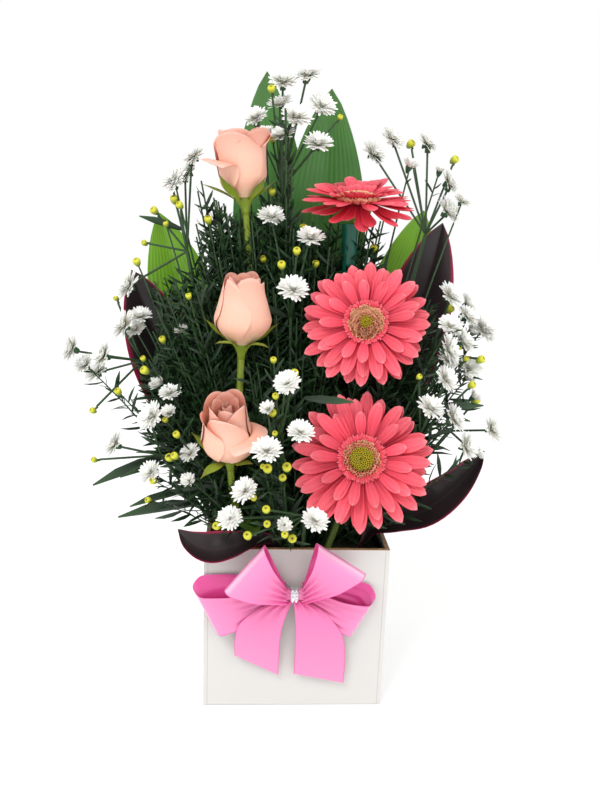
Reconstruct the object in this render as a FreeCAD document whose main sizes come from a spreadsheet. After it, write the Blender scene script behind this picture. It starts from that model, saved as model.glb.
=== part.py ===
"""Florist's flower box: a white board box with a ribbon bow, holding a lift-out liner of cut flowers.

The frame's origin is the centre of the box's underside, +Z is up and the bow is on the -Y side.
All lengths are millimetres and all angles are degrees unless a name says otherwise.
"""

import FreeCAD, Part
import math
import os
import Sketcher

from FreeCAD import Vector

doc = FreeCAD.newDocument("flower_box")
UP = Vector(0, 0, 1)
GOLDEN_ANGLE = 137.5

# Driving dimensions, kept in a sheet so that every piece reads the same value.
DIMENSIONS = {
    "box_width": 140, "box_depth": 140, "box_height": 132, "board": 3,
    "liner_wall": 1.2, "liner_gap": 0.6, "liner_drop": 2,
    "foam_gap": 0.4, "foam_drop": 12, "stem_bite": 45, "leaf_bite": 24, "petiole": 3.2,
    "rose_stem": 5.2, "rose_height": 52, "rose_core": 20, "rose_ring_step": 3.4, "rose_petal": 1.3,
    "hip_width": 22, "hip_height": 11, "sepal_length": 25, "sepal_width": 8,
    "rose_leaf_length": 38, "rose_leaf_width": 18,
    "gerbera_stem": 5.5, "sleeve_wall": 0.9, "sleeve_gap": 0.15, "sleeve_length": 62,
    "gerbera_width": 108, "disc_width": 27, "disc_height": 6.5, "ray": 0.8, "ray_width": 11.5,
    "ray_gap": 0.35, "ray_layer": 2.1, "bract_depth": 15, "bract_lip": 2.5,
    "blade": 0.9, "blade_root": 4, "blade_seat": 0.3, "neighbour_gap": 0.25,
    "spray_stem": 3.2, "twig": 1.8, "aster_width": 23, "aster_height": 9, "cup_width": 5, "cup_height": 5,
    "bud_width": 8.5, "bud_height": 9, "bud_seat": 2.4, "needle_length": 31, "needle_width": 5,
    "needle": 0.7,
    "ribbon": 0.7, "waist_width": 8, "knot_width": 8.4, "knot_length": 18,
    "band_width": 5.5, "band_wall": 1.2, "band_gap": 0.2, "glue_width": 16, "glue_thick": 2.4,
    "bow_height": 99.5, "bow_seat": 0.35, "stone_width": 1.9, "stone_height": 0.9,
}
sheet = doc.addObject("Spreadsheet::Sheet", "dims")
for row, (alias, size) in enumerate(DIMENSIONS.items(), start=1):
    sheet.set(f"A{row}", alias)
    sheet.set(f"B{row}", str(size))
    sheet.setAlias(f"B{row}", alias)
doc.recompute()


def size_of(alias):
    """A driving dimension as the sheet holds it."""
    return float(sheet.get(alias))


pieces = {}


def keep(name, obj):
    """Registers a document object as the piece of that name."""
    obj.Label = name
    pieces[name] = obj
    return obj


def keep_shape(name, shape):
    """Registers a free-form shape as the piece of that name."""
    feature = doc.addObject("Part::Feature", name)
    feature.Shape = shape
    return keep(name, feature)


def bound_box(name, length, width, height, corner):
    """A board whose sizes and corner are expressions on the sheet."""
    board = doc.addObject("Part::Box", name)
    for prop, text in zip(("Length", "Width", "Height"), (length, width, height)):
        board.setExpression(prop, text)
    for axis, text in zip("xyz", corner):
        board.setExpression(f"Placement.Base.{axis}", text)
    return board


# Box: the front and back boards stand between the two side boards, and the base sits inside all four.
side_height = "dims.box_height"
between_sides = "dims.box_width - 2 * dims.board"
between_faces = "dims.box_depth - 2 * dims.board"
left_inside = "dims.board - dims.box_width / 2"
front_inside = "dims.board - dims.box_depth / 2"
keep("left_panel", bound_box("left_panel", "dims.board", "dims.box_depth", side_height,
                             ("-dims.box_width / 2", "-dims.box_depth / 2", "0")))
keep("right_panel", bound_box("right_panel", "dims.board", "dims.box_depth", side_height,
                              ("dims.box_width / 2 - dims.board", "-dims.box_depth / 2", "0")))
keep("front_panel", bound_box("front_panel", between_sides, "dims.board", side_height,
                              (left_inside, "-dims.box_depth / 2", "0")))
keep("back_panel", bound_box("back_panel", between_sides, "dims.board", side_height,
                             (left_inside, "dims.box_depth / 2 - dims.board", "0")))
keep("base_panel", bound_box("base_panel", between_sides, between_faces, "dims.board",
                             (left_inside, front_inside, "0")))


# Liner: an open waterproof tray padded as a block and pocketed from its mouth.
def rectangle(sketch, width_text, depth_text):
    """Draws a centred rectangle whose sides follow the sheet."""
    half = 10.0
    corners = [Vector(-half, -half, 0), Vector(half, -half, 0), Vector(half, half, 0), Vector(-half, half, 0)]
    for start, end in zip(corners, corners[1:] + corners[:1]):
        sketch.addGeometry(Part.LineSegment(start, end), False)
    for side in range(4):
        sketch.addConstraint(Sketcher.Constraint("Coincident", side, 2, (side + 1) % 4, 1))
    for side, kind in enumerate(("Horizontal", "Vertical", "Horizontal", "Vertical")):
        sketch.addConstraint(Sketcher.Constraint(kind, side))
    sketch.addConstraint(Sketcher.Constraint("Symmetric", 0, 1, 1, 2, -1, 1))
    width = sketch.addConstraint(Sketcher.Constraint("DistanceX", 0, 1, 0, 2, 2 * half))
    depth = sketch.addConstraint(Sketcher.Constraint("DistanceY", 1, 1, 1, 2, 2 * half))
    sketch.setExpression(f"Constraints[{width}]", width_text)
    sketch.setExpression(f"Constraints[{depth}]", depth_text)


def tray(name, width_text, depth_text, height_text, wall_text, floor_text):
    """An open tray standing on the plane z = floor_text."""
    body = doc.addObject("PartDesign::Body", name)
    plane = next(f for f in body.Origin.OriginFeatures if f.Role == "XY_Plane")
    outline = body.newObject("Sketcher::SketchObject", name + "_outline")
    outline.AttachmentSupport = (plane, [""])
    outline.MapMode = "FlatFace"
    rectangle(outline, width_text, depth_text)
    block = body.newObject("PartDesign::Pad", name + "_block")
    block.Profile = outline
    block.setExpression("Length", height_text)
    doc.recompute()
    hollow_outline = body.newObject("Sketcher::SketchObject", name + "_hollow_outline")
    hollow_outline.AttachmentSupport = (plane, [""])
    hollow_outline.MapMode = "FlatFace"
    hollow_outline.setExpression("AttachmentOffset.Base.z", height_text)
    rectangle(hollow_outline, f"{width_text} - 2 * {wall_text}", f"{depth_text} - 2 * {wall_text}")
    hollow = body.newObject("PartDesign::Pocket", name + "_hollow")
    hollow.Profile = hollow_outline
    hollow.setExpression("Length", f"{height_text} - {wall_text}")
    body.setExpression("Placement.Base.z", floor_text)
    doc.recompute()
    return body


liner_floor_text = "dims.board"
liner_width_text = "(dims.box_width - 2 * dims.board - 2 * dims.liner_gap)"
liner_depth_text = "(dims.box_depth - 2 * dims.board - 2 * dims.liner_gap)"
liner_height_text = "(dims.box_height - dims.board - dims.liner_drop)"
keep("liner_tray", tray("liner_tray", liner_width_text, liner_depth_text, liner_height_text,
                        "dims.liner_wall", liner_floor_text))

# Places that every stem and leaf reads from the box.
foam_floor = size_of("board") + size_of("liner_wall")
foam_top = size_of("box_height") - size_of("foam_drop")
liner_inner = size_of("liner_gap") + size_of("liner_wall") + size_of("board")
foam_half_width = size_of("box_width") / 2 - liner_inner - size_of("foam_gap")
foam_front = -(size_of("box_depth") / 2 - liner_inner - size_of("foam_gap"))
box_front = -size_of("box_depth") / 2
rim = size_of("box_height")
foam_blank = bound_box("foam_blank", str(2 * foam_half_width), str(-2 * foam_front),
                       str(foam_top - foam_floor),
                       (str(-foam_half_width), str(foam_front), str(foam_floor)))
stem_plugs = []

# The arrangement is drawn over a 140 mm square box with its foam top at 120 mm.
DRAWN_BOX = 140
DRAWN_FOAM_TOP = 120
width_share = size_of("box_width") / DRAWN_BOX
depth_share = size_of("box_depth") / DRAWN_BOX


def spot(x, y, z=DRAWN_FOAM_TOP):
    """A drawn place, carried along when the box changes size; with no height it is on the foam's top."""
    return Vector(x * width_share, y * depth_share, z - DRAWN_FOAM_TOP + foam_top)


def unit(v):
    """The vector's direction."""
    return Vector(v) * (1 / v.Length)


def across(direction, hint):
    """The part of hint that is square to direction, as a unit vector."""
    return unit(hint - direction * hint.dot(direction))


def faceted(rings):
    """A solid of flat facets between rings of as many points each, with a flat end on the first and last."""
    count = len(rings[0])
    points = [point for each in rings for point in each]
    last = len(points) - count
    facets = []
    for low in range(0, last, count):
        for n in range(count):
            a, b = low + n, low + (n + 1) % count
            facets += [(a, b, b + count), (a, b + count, a + count)]
    for n in range(1, count - 1):
        facets += [(0, n + 1, n), (last, last + n, last + n + 1)]
    shell = Part.Shape()
    shell.makeShapeFromMesh((points, facets), 0.0001)
    solid = Part.makeSolid(shell)
    if solid.Volume < 0:
        solid.reverse()
    return solid


def blade_solid(stations, segments=2):
    """A leaf or petal through lens sections of (middle, side, face, width, crown, thickness)."""
    rings = []
    for middle, side, face, width, crown, thickness in stations:
        left, right = middle - side * (width / 2), middle + side * (width / 2)
        upper = Part.Arc(left, middle + face * (crown + thickness / 2), right).toShape()
        lower = Part.Arc(left, middle + face * (crown - thickness / 2), right).toShape()
        rings.append(upper.discretize(segments + 1) + lower.discretize(segments + 1)[-2:0:-1])
    return faceted(rings)


def leaf_width(t, root, widest, tip=1.2, fullness=0.75, shoulder=0.85):
    """Width of a leaf at share t of its length: narrow root, full middle, pointed tip."""
    body = math.sin(math.pi * min(1.0, t) ** shoulder) ** fullness if 0 < t < 1 else 0.0
    ends = root * (1 - t) + tip * t
    return max(ends, widest * body)


def leaf_stations(start, direction, face, length, width, bend=0.0, crown=0.08, thickness=None, root=None,
                  stations=7, fullness=0.75, shoulder=0.85):
    """Sections of a leaf that bends towards face; crown is its trough as a share of its width."""
    thickness = thickness or size_of("blade")
    root = root or size_of("blade_root")
    direction = unit(direction)
    face = across(direction, face)
    turn = math.radians(bend) if abs(bend) > 0.5 else math.radians(0.5)
    radius = length / turn
    made = []
    for i in range(stations):
        t = i / (stations - 1)
        angle = turn * t
        middle = start + direction * (radius * math.sin(angle)) + face * (radius * (1 - math.cos(angle)))
        along = direction * math.cos(angle) + face * math.sin(angle)
        normal = face * math.cos(angle) - direction * math.sin(angle)
        side = along.cross(normal)
        broad = leaf_width(t, root, width, fullness=fullness, shoulder=shoulder)
        made.append((middle, side, normal, broad, -crown * broad - thickness * 0.55, thickness))
    return made


def leaf(*place, **form):
    """A small leaf without a stalk."""
    return blade_solid(leaf_stations(*place, **form))


def ring(radius, corners, origin, axis, notch=1.0):
    """Corners of an outline square to axis; a notch under 1 draws every other one in and makes a star."""
    side_way = across(axis, Vector(1, 0.1, 0))
    other_way = axis.cross(side_way)
    points = []
    for n in range(corners):
        reach = radius * (notch if n % 2 else 1.0)
        angle = 2 * math.pi * n / corners
        points.append(origin + side_way * (reach * math.cos(angle)) + other_way * (reach * math.sin(angle)))
    return points


def turned(profile, origin, axis, corners):
    """A round form with flat sides through (radius, height) steps along axis."""
    return faceted([ring(radius, corners, origin + axis * height, axis) for radius, height in profile])


def rod(start, end, radius):
    """A straight stalk of five sides."""
    run = end - start
    corners = ring(radius, 5, start, unit(run))
    return Part.Face(Part.makePolygon(corners + corners[:1])).extrude(run)


def bent_path(start, corner, end, bend_radius):
    """Stations of (point, heading) along two straight runs joined by a smooth bend."""
    into, out = unit(corner - start), unit(end - corner)
    turn = into.getAngle(out)
    if turn < 0.02:
        return [(start, into), (end, out)]
    reach = min(bend_radius * math.tan(turn / 2), 0.9 * min((corner - start).Length, (end - corner).Length))
    first, last = corner - into * reach, corner + out * reach
    stations = [(start, into)]
    for share in (0, 0.25, 0.5, 0.75, 1):
        rest = 1 - share
        point = first * rest ** 2 + corner * (2 * share * rest) + last * share ** 2
        stations.append((point, unit(into * rest + out * share)))
    return stations + [(end, out)]


def swept(path, radius, inner=None, corners=8):
    """A stem, or a hollow sleeve, along stations of (point, heading)."""
    solid = faceted([ring(radius, corners, point, heading) for point, heading in path])
    if inner:
        solid = solid.cut(faceted([ring(inner, corners, point, heading) for point, heading in path]))
    return solid


def into_foam(entry, towards):
    """Where a stem that comes in at entry, from towards, ends inside the foam."""
    return entry - unit(towards - entry) * size_of("stem_bite")


def plug(shape):
    """Notes a stem, so that the foam gets its hole."""
    stem_plugs.append(shape)
    return shape


# Roses: a stem, a hip with sepals, and rings of petals wrapped round a closed heart.
class Rose:
    """Where one rose stands: its hip, the way its head points, and where its stem enters the foam."""

    def __init__(self, name, hip, axis, entry, openness, leaves):
        self.name, self.hip, self.axis = name, spot(*hip), unit(Vector(*axis))
        self.entry, self.openness, self.leaves = spot(*entry), openness, leaves


ROSES = [
    Rose("rose_top", (-45, -2, 386), (-0.10, -0.08, 1), (-24, 4), 1.0, ((205, 62),)),
    Rose("rose_middle", (-45, -40, 282), (0.02, -0.12, 1), (-22, -24), 0.0, ((180, 95),)),
    Rose("rose_lower", (-52, -66, 202), (-0.06, -0.42, 1), (-28, -47), 0.7, ((285, 15),)),
]


def rose_radius(t):
    """Radius of the heart at share t of the head's height."""
    swell = math.sin(math.pi * (0.16 + 0.62 * t))
    return size_of("rose_core") / 2 * swell


def rose_petal_ring(rose, ring, count, height_share, flare):
    """A ring of petals that stand clear of each other and of the rings inside."""
    height = size_of("rose_height") * height_share
    half_angle = math.pi / count - 0.045
    side_way = across(rose.axis, Vector(1, 0.2, 0))
    other_way = rose.axis.cross(side_way)
    solids = []
    for n in range(count):
        azimuth = 2 * math.pi * n / count + ring * 1.05
        radial = side_way * math.cos(azimuth) + other_way * math.sin(azimuth)
        tangent = rose.axis.cross(radial)
        stations = []
        for t in (0.0, 0.3, 0.7, 1.0):
            step = size_of("rose_ring_step") * (0.5 + 0.5 * min(1.0, t / 0.35))
            radius = rose_radius(t * height_share) + ring * step + flare * max(0, t - 0.55) ** 1.6
            spread = half_angle * (1 - 0.55 * max(0, t - 0.72) / 0.28)
            middle = rose.hip + rose.axis * (t * height + 0.2) + radial * (radius * math.cos(spread))
            width = 2 * radius * math.sin(spread)
            bulge = radius * (1 - math.cos(spread))
            stations.append((middle, tangent, radial, width, bulge, size_of("rose_petal")))
        solids.append(blade_solid(stations, 4))
    return solids


def rose_heart(rose):
    """The closed heart of the bloom, turned about the head's axis."""
    height = size_of("rose_height") * 0.9
    profile = [(rose_radius(0), 0.2), (rose_radius(0.27), height * 0.3), (rose_radius(0.54), height * 0.6),
               (rose_radius(0.9) * 0.7, height)]
    return turned(profile, rose.hip, rose.axis, 10)


def rose_hip(rose):
    """Hip under the bloom with its five sepals."""
    wide, tall = size_of("hip_width") / 2, size_of("hip_height")
    stem = size_of("rose_stem") / 2
    hip = turned([(stem, -tall), (wide * 0.72, -tall * 0.55), (wide, 0)], rose.hip, rose.axis, 10)
    side_way = across(rose.axis, Vector(1, 0, 0))
    other_way = rose.axis.cross(side_way)
    solids = [hip]
    for n in range(5):
        azimuth = math.radians(72 * n + 20)
        radial = side_way * math.cos(azimuth) + other_way * math.sin(azimuth)
        start = rose.hip + radial * (wide - 0.4) - rose.axis
        out = radial * 0.86 + rose.axis * 0.5
        inward = rose.axis - radial * 0.4
        solids.append(leaf(start, out, inward, size_of("sepal_length"), size_of("sepal_width"), bend=28,
                           crown=0.1, thickness=size_of("needle"), root=3, stations=4))
    return Part.makeCompound(solids)


rose_leaf_solids = []
for rose in ROSES:
    neck = rose.hip - rose.axis * size_of("hip_height")
    corner = neck - rose.axis * 34
    path = bent_path(into_foam(rose.entry, corner), corner, neck, 60)
    keep_shape(rose.name + "_stem", plug(swept(path, size_of("rose_stem") / 2)))
    keep_shape(rose.name + "_hip", rose_hip(rose))
    petals = [rose_heart(rose)]
    petals += rose_petal_ring(rose, 1, 3, 0.97, 0)
    petals += rose_petal_ring(rose, 2, 3, 1.0, 6 * rose.openness)
    petals += rose_petal_ring(rose, 3, 5, 0.86, 16 * rose.openness)
    keep_shape(rose.name + "_petals", Part.makeCompound(petals))
    for heading, drop in rose.leaves:
        way = Vector(math.cos(math.radians(heading)), math.sin(math.radians(heading)), 0.35)
        seat = corner - unit(corner - rose.entry) * drop
        square = across(unit(corner - rose.entry), way)
        start = seat + square * (size_of("rose_stem") / 2 + size_of("blade_seat"))
        rose_leaf_solids.append(leaf(start, way, UP, size_of("rose_leaf_length"), size_of("rose_leaf_width"),
                                     bend=-30, root=2.2, stations=5))
keep_shape("rose_leaves", Part.makeCompound(rose_leaf_solids))


# Gerberas: a stem, a cup of bracts, a disc, and rays in three layers.
class Gerbera:
    """Where one gerbera stands: its disc's foot, the way it faces, its foam entry, and its neck's length."""

    def __init__(self, name, centre, facing, entry, neck):
        self.name, self.centre, self.facing = name, spot(*centre), unit(Vector(*facing))
        self.entry, self.throat = spot(*entry), self.centre - self.facing * size_of("bract_depth")
        self.bend = self.throat - self.facing * neck


GERBERAS = [
    Gerbera("gerbera_top", (41, -2, 386), (-0.02, -0.40, 0.92), (18, 6), 7),
    Gerbera("gerbera_middle", (47, -40, 299), (-0.16, -0.90, 0.42), (22, -20), 22),
    Gerbera("gerbera_lower", (45, -66, 202), (-0.10, -0.90, 0.42), (24, -46), 22),
]


def ray_ring(flower, count, reach, lift, layer, phase, shares):
    """One layer of rays round the disc, each as wide as its share of the circle allows."""
    hub = size_of("disc_width") / 2 + 0.15
    side_way = across(flower.facing, Vector(1, 0, 0))
    other_way = flower.facing.cross(side_way)
    length = reach - hub
    solids = []
    for n in range(count):
        azimuth = 2 * math.pi * (n + phase) / count
        radial = side_way * math.cos(azimuth) + other_way * math.sin(azimuth)
        tangent = flower.facing.cross(radial)
        stations = []
        for t in shares:
            rise = math.radians(lift) * length * (t - 0.35 * t * t)
            radius = hub + length * t
            room = 2 * radius * math.tan(math.pi / count) - size_of("ray_gap")
            blunt = math.sqrt(max(0.08, 1 - max(0, t - 0.7) ** 2 / 0.095))
            broad = min(room, size_of("ray_width")) * blunt
            height = layer * size_of("ray_layer") + 1.1 + rise
            middle = flower.centre + radial * radius + flower.facing * height
            normal = unit(flower.facing - radial * math.radians(lift) * (1 - 0.7 * t))
            trough = -0.05 * broad - 0.45 * size_of("ray")
            stations.append((middle, tangent, normal, broad, trough, size_of("ray")))
        solids.append(blade_solid(stations))
    return solids


def bract_cup(flower):
    """The green cup behind the head."""
    stem, depth = size_of("gerbera_stem") / 2, size_of("bract_depth")
    lip = size_of("disc_width") / 2 + size_of("bract_lip")
    profile = [(stem, -depth), (lip * 0.86, -depth * 0.55), (lip, 0)]
    return turned(profile, flower.centre, flower.facing, 12)


def disc(flower):
    """The domed disc of tiny florets."""
    wide, tall = size_of("disc_width") / 2, size_of("disc_height")
    profile = [(wide, 0), (wide, tall * 0.7), (wide * 0.65, tall * 0.95), (wide * 0.15, tall)]
    return turned(profile, flower.centre, flower.facing, 16)


for flower in GERBERAS:
    path = bent_path(into_foam(flower.entry, flower.bend), flower.bend, flower.throat, 26)
    keep_shape(flower.name + "_stem", plug(swept(path, size_of("gerbera_stem") / 2)))
    half_width = size_of("gerbera_width") / 2
    rays = ray_ring(flower, 20, half_width, 3, 0, 0, (0, 0.5, 0.85, 1))
    rays += ray_ring(flower, 18, half_width * 0.88, 9, 1, 0.5, (0, 0.5, 0.85, 1))
    rays += ray_ring(flower, 18, half_width * 0.46, 24, 2, 0.25, (0, 0.75, 1))
    keep_shape(flower.name + "_rays", Part.makeCompound(rays))
    keep_shape(flower.name + "_disc", disc(flower))
    keep_shape(flower.name + "_bracts", bract_cup(flower))

# Sleeve: a clear green straw that stiffens the tallest gerbera's stem.
tallest = GERBERAS[0]
straw_way = unit(tallest.bend - tallest.entry)
straw_top = tallest.bend - straw_way * 8
straw_bore = size_of("gerbera_stem") / 2 + size_of("sleeve_gap")
straw_path = [(straw_top - straw_way * size_of("sleeve_length"), straw_way), (straw_top, straw_way)]
keep_shape("gerbera_top_sleeve", swept(straw_path, straw_bore + size_of("sleeve_wall"), straw_bore, 12))

# Broad green leaves stand along the back and dark leaves with red edges beside them, each on a short stalk.
# Each row is: name, foam entry, tip direction, face, length, width, bend, crown.
LEAVES = [
    ("broad_leaf_centre", (10, 44), (0.04, 0.04, 1), (0, -1, 0), 348, 74, -4, 0.06),
    ("broad_leaf_tall", (-14, 52), (-0.03, 0.05, 1), (0.25, -1, 0), 362, 66, -5, 0.06),
    ("broad_leaf_left", (-43, 36), (-0.28, 0.06, 1), (0.2, -1, 0), 255, 60, -6, 0.08),
    ("broad_leaf_right", (42, 42), (0.24, 0.06, 1), (-0.2, -1, 0), 262, 58, -6, 0.08),
    ("dark_leaf_right", (54, 22), (0.25, 0.05, 1), (-0.35, -1, 0.1), 250, 60, 4, 0.10),
    ("dark_leaf_left", (-50, 18), (-0.42, 0.05, 1), (0.4, -1, 0.1), 215, 58, 5, 0.10),
]


def stalked(entry, heading, stations):
    """A leaf whose blade goes on as a round stalk down into the foam."""
    side = across(heading, stations[0][1])
    face, thick = side.cross(heading), size_of("petiole")
    stalk = [(entry + heading * reach, side, face, thick, 0, thick) for reach in (-size_of("leaf_bite"), 5)]
    plug(blade_solid(stalk, 4))
    return blade_solid(stalk + stations, 4)


for name, entry, way, face, length, width, bend, crown in LEAVES:
    foot = spot(*entry)
    heading = unit(Vector(*way))
    blade = leaf_stations(foot + heading * 10, heading, Vector(*face), length, width, bend, crown, stations=8)
    keep_shape(name, stalked(foot, heading, blade))

# Two dark leaves come over the rim: one lies along the front edge, the other reaches out to the right.
# Each row is: name, foam entry, face, and the midrib's points with the blade's width at each.
RIM_LEAVES = [
    ("dark_leaf_front", (-12, -57), (0, -0.6, 0.8),
     ((-14, -60, 128, 4), (-21, -65, 138, 9), (-36, -71, 140, 15), (-52, -76, 138, 24), (-66, -78, 137, 26),
      (-79, -76, 141, 17), (-89, -72, 148, 2))),
    ("dark_leaf_right_low", (50, -45), (-0.5, -0.55, 0.67),
     ((52, -45, 127, 4), (60, -46, 140, 13), (76, -48, 148, 24), (98, -46, 157, 36), (120, -40, 171, 32),
      (140, -30, 187, 16), (149, -26, 198, 2))),
]
for name, entry, face, midrib in RIM_LEAVES:
    points = [spot(*place[:3]) for place in midrib]
    stations = []
    for n, (point, place) in enumerate(zip(points, midrib)):
        along = unit(points[min(n + 1, len(points) - 1)] - points[max(n - 1, 0)])
        normal = across(along, Vector(*face))
        trough = -0.12 * place[3] - 0.5
        stations.append((point, along.cross(normal), normal, place[3], trough, size_of("blade")))
    foot = spot(*entry)
    keep_shape(name, stalked(foot, unit(points[0] - foot), stations))


# Aster sprays: a stem that branches to white heads and yellow buds, with narrow leaves up the stem.
class Spray:
    """One cut stem: its foam entry, fork, blooms and buds, and how many narrow leaves it keeps."""

    def __init__(self, group, entry, fork, blooms, buds, needles):
        self.group, self.entry, self.fork = group, spot(*entry), spot(*fork)
        self.blooms, self.buds, self.needles = blooms, buds, needles


SPRAYS = [
    Spray("left", (-56, -4), (-122, -12, 262),
          [(-172, -24, 272), (-147, -36, 270), (-156, -2, 252), (-133, -36, 292)],
          [(-142, 4, 304), (-152, -40, 232), (-116, -44, 262)], 8),
    Spray("left", (-54, -30), (-104, -44, 196), [(-110, -64, 230), (-136, -58, 208)],
          [(-150, -44, 192), (-92, -76, 206)], 8),
    Spray("left", (-46, -6), (-88, -4, 346),
          [(-86, 10, 414), (-100, 2, 396), (-130, -16, 322), (-92, 24, 402)],
          [(-110, -2, 372), (-118, 8, 350), (-92, -14, 376)], 8),
    Spray("middle", (-4, 20), (-16, 26, 396),
          [(-18, 18, 472), (0, 22, 478), (12, 24, 456), (-8, 6, 446), (8, 8, 428), (-38, 34, 446)],
          [(-26, 8, 462), (-24, 24, 428), (24, 18, 446)], 7),
    Spray("middle", (-4, -8), (-8, -14, 300), [(4, -16, 358), (-24, -8, 372), (-8, -34, 322)],
          [(-16, -30, 336), (-6, -28, 346), (-28, -2, 338)], 7),
    Spray("middle", (-6, -42), (-16, -62, 212),
          [(-26, -106, 222), (-40, -94, 190), (-14, -88, 262), (-4, -98, 232)],
          [(-20, -84, 250), (-12, -92, 206), (-24, -96, 206), (-8, -76, 264)], 5),
    Spray("middle", (4, -57), (4, -78, 162), [(8, -108, 172), (-48, -92, 166)],
          [(-22, -98, 174), (-10, -104, 160), (-34, -98, 156)], 4),
    Spray("right", (42, -2), (99, 18, 364),
          [(74, 46, 436), (100, 36, 432), (62, 56, 424), (114, 12, 402), (110, -6, 382)],
          [(88, 42, 430), (118, 24, 418), (92, 48, 414)], 7),
    Spray("right", (50, -6), (102, -14, 276),
          [(110, -36, 320), (126, -24, 312), (136, -36, 296), (118, -50, 290), (105, -66, 286)],
          [(112, -22, 306), (130, -46, 276)], 7),
    Spray("right", (48, -30), (92, -46, 216), [(102, -72, 264), (92, -74, 244), (110, -72, 236)],
          [(122, -60, 256), (84, -66, 262)], 7),
    Spray("right", (54, -14), (120, -26, 214), [(142, -62, 226), (122, -72, 216)], [(134, -34, 238)], 7),
]


def aster_head(seat, axis):
    """A many-rayed white head, from its seat on the cup to its crown."""
    wide, tall = size_of("aster_width") / 2, size_of("aster_height")
    levels = [(0.30, 0.9, 0.0), (1.0, 0.76, 0.45), (0.42, 0.86, 1.0)]
    outlines = [ring(wide * share, 12, seat + axis * (tall * level), axis, notch)
                for share, notch, level in levels]
    return faceted(outlines)


def aster_bud(seat, axis):
    """A closed bud turned about its twig, from its foot to its blunt tip."""
    wide, tall, foot = size_of("bud_width") / 2, size_of("bud_height"), size_of("bud_seat") / 2
    profile = [(foot, 0), (wide * 0.95, tall * 0.28), (wide, tall * 0.62), (wide * 0.35, tall)]
    return turned(profile, seat, axis, 5)


def spray_parts(spray):
    """The stem with its twigs and cups as one solid, then the heads and buds that it carries."""
    thick, twig = size_of("spray_stem") / 2, size_of("twig") / 2
    foot = into_foam(spray.entry, spray.fork)
    stem = rod(foot, spray.fork, thick)
    plug(rod(foot, spray.fork, thick))
    heads, buds = [], []
    twigs = []
    for place in spray.blooms:
        seat = spot(*place)
        run = unit(seat - spray.fork)
        axis = unit(run + Vector(0, -0.5, 0.35))
        cup_foot = seat - axis * size_of("cup_height")
        twigs.append(rod(spray.fork, cup_foot, twig))
        twigs.append(rod(cup_foot, seat, size_of("cup_width") / 2))
        heads.append(aster_head(seat, axis))
    for place in spray.buds:
        seat = spot(*place)
        axis = unit(seat - spray.fork)
        twigs.append(rod(spray.fork, seat, twig))
        buds.append(aster_bud(seat, axis))
    stem = stem.multiFuse(twigs)
    return stem, heads, buds


groups = {}
for spray in SPRAYS:
    made = groups.setdefault(spray.group, {"stems": [], "blooms": [], "buds": []})
    stem, heads, buds = spray_parts(spray)
    made["stems"].append(stem)
    made["blooms"] += heads
    made["buds"] += buds
for group, kinds in groups.items():
    for kind, solids in kinds.items():
        keep_shape(f"aster_{kind}_{group}", Part.makeCompound(solids))

# Foam: a wet brick that fills the liner, with a hole where each stem was pushed in.
plugs = doc.addObject("Part::Feature", "stem_plugs")
plugs.Shape = Part.makeCompound(stem_plugs)
foam = doc.addObject("Part::Cut", "foam_block")
foam.Base = foam_blank
foam.Tool = plugs
keep("foam_block", foam)


# Bow: ribbon loops and tails gathered at a knot, bound by a stone-set band and glued to the front board.
knot_radius = size_of("knot_width") / 2
band_inner = knot_radius + size_of("band_gap")
band_outer = band_inner + size_of("band_wall")
bow_middle = Vector(-2, box_front - size_of("glue_thick") - band_outer - 0.1, size_of("bow_height"))


def ribbon_through(edges):
    """A ribbon through pairs of edge points, each pair given from the bow's middle."""
    half = size_of("ribbon") / 2
    pairs = [(bow_middle + left, bow_middle + right) for left, right in edges]
    rings = []
    for n, (left, right) in enumerate(pairs):
        before, after = pairs[max(0, n - 1)], pairs[min(len(pairs) - 1, n + 1)]
        along = after[0] + after[1] - before[0] - before[1]
        face = unit(along.cross(right - left)) * half
        rings.append([left - face, right - face, right + face, left + face])
    return faceted(rings)


# One layer of a loop from waist to fold: share of the way out, and share of the half thickness it stands off.
LAYER = ((0, 0.2), (0.25, 0.55), (0.55, 0.95), (0.8, 1.0), (0.93, 0.88), (0.98, 0.6), (0.995, 0.3))
LOOP_PATH = LAYER + ((1.0, 0.0),) + tuple((out, -off) for out, off in reversed(LAYER))


def loop(side, depth, upper, lower, lean, half_thickness, drop):
    """A loop with its fold from upper to lower; its back layer rises and its front one sinks by drop."""
    waist = size_of("waist_width") / 2
    start = side * (size_of("knot_length") / 2 + size_of("bow_seat"))
    edges = []
    for out, off in LOOP_PATH:
        pair = []
        for corner, waist_height in ((upper, waist), (lower, -waist)):
            across_way = start + (corner[0] - start) * out
            height = waist_height + (corner[1] - waist_height) * out + drop * off
            pair.append(Vector(across_way, depth - lean * min(1.0, out / 0.6) + half_thickness * off, height))
        edges.append(tuple(pair))
    return ribbon_through(edges)


def tail(side, corners):
    """A hanging tail: it leaves the band's underside and widens to a slanted cut between its two corners."""
    top = -band_outer - size_of("bow_seat")
    waist = size_of("waist_width") / 2
    edges = []
    for share, spread, depth in TAIL_RUN:
        pair = []
        for hand, (x, z) in zip((-0.9, 0.9), corners):
            root = (side + hand) * waist
            pair.append(Vector(root + (x - root) * spread, depth, top + (z - top) * share))
        edges.append(tuple(pair))
    return ribbon_through(edges)


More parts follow.
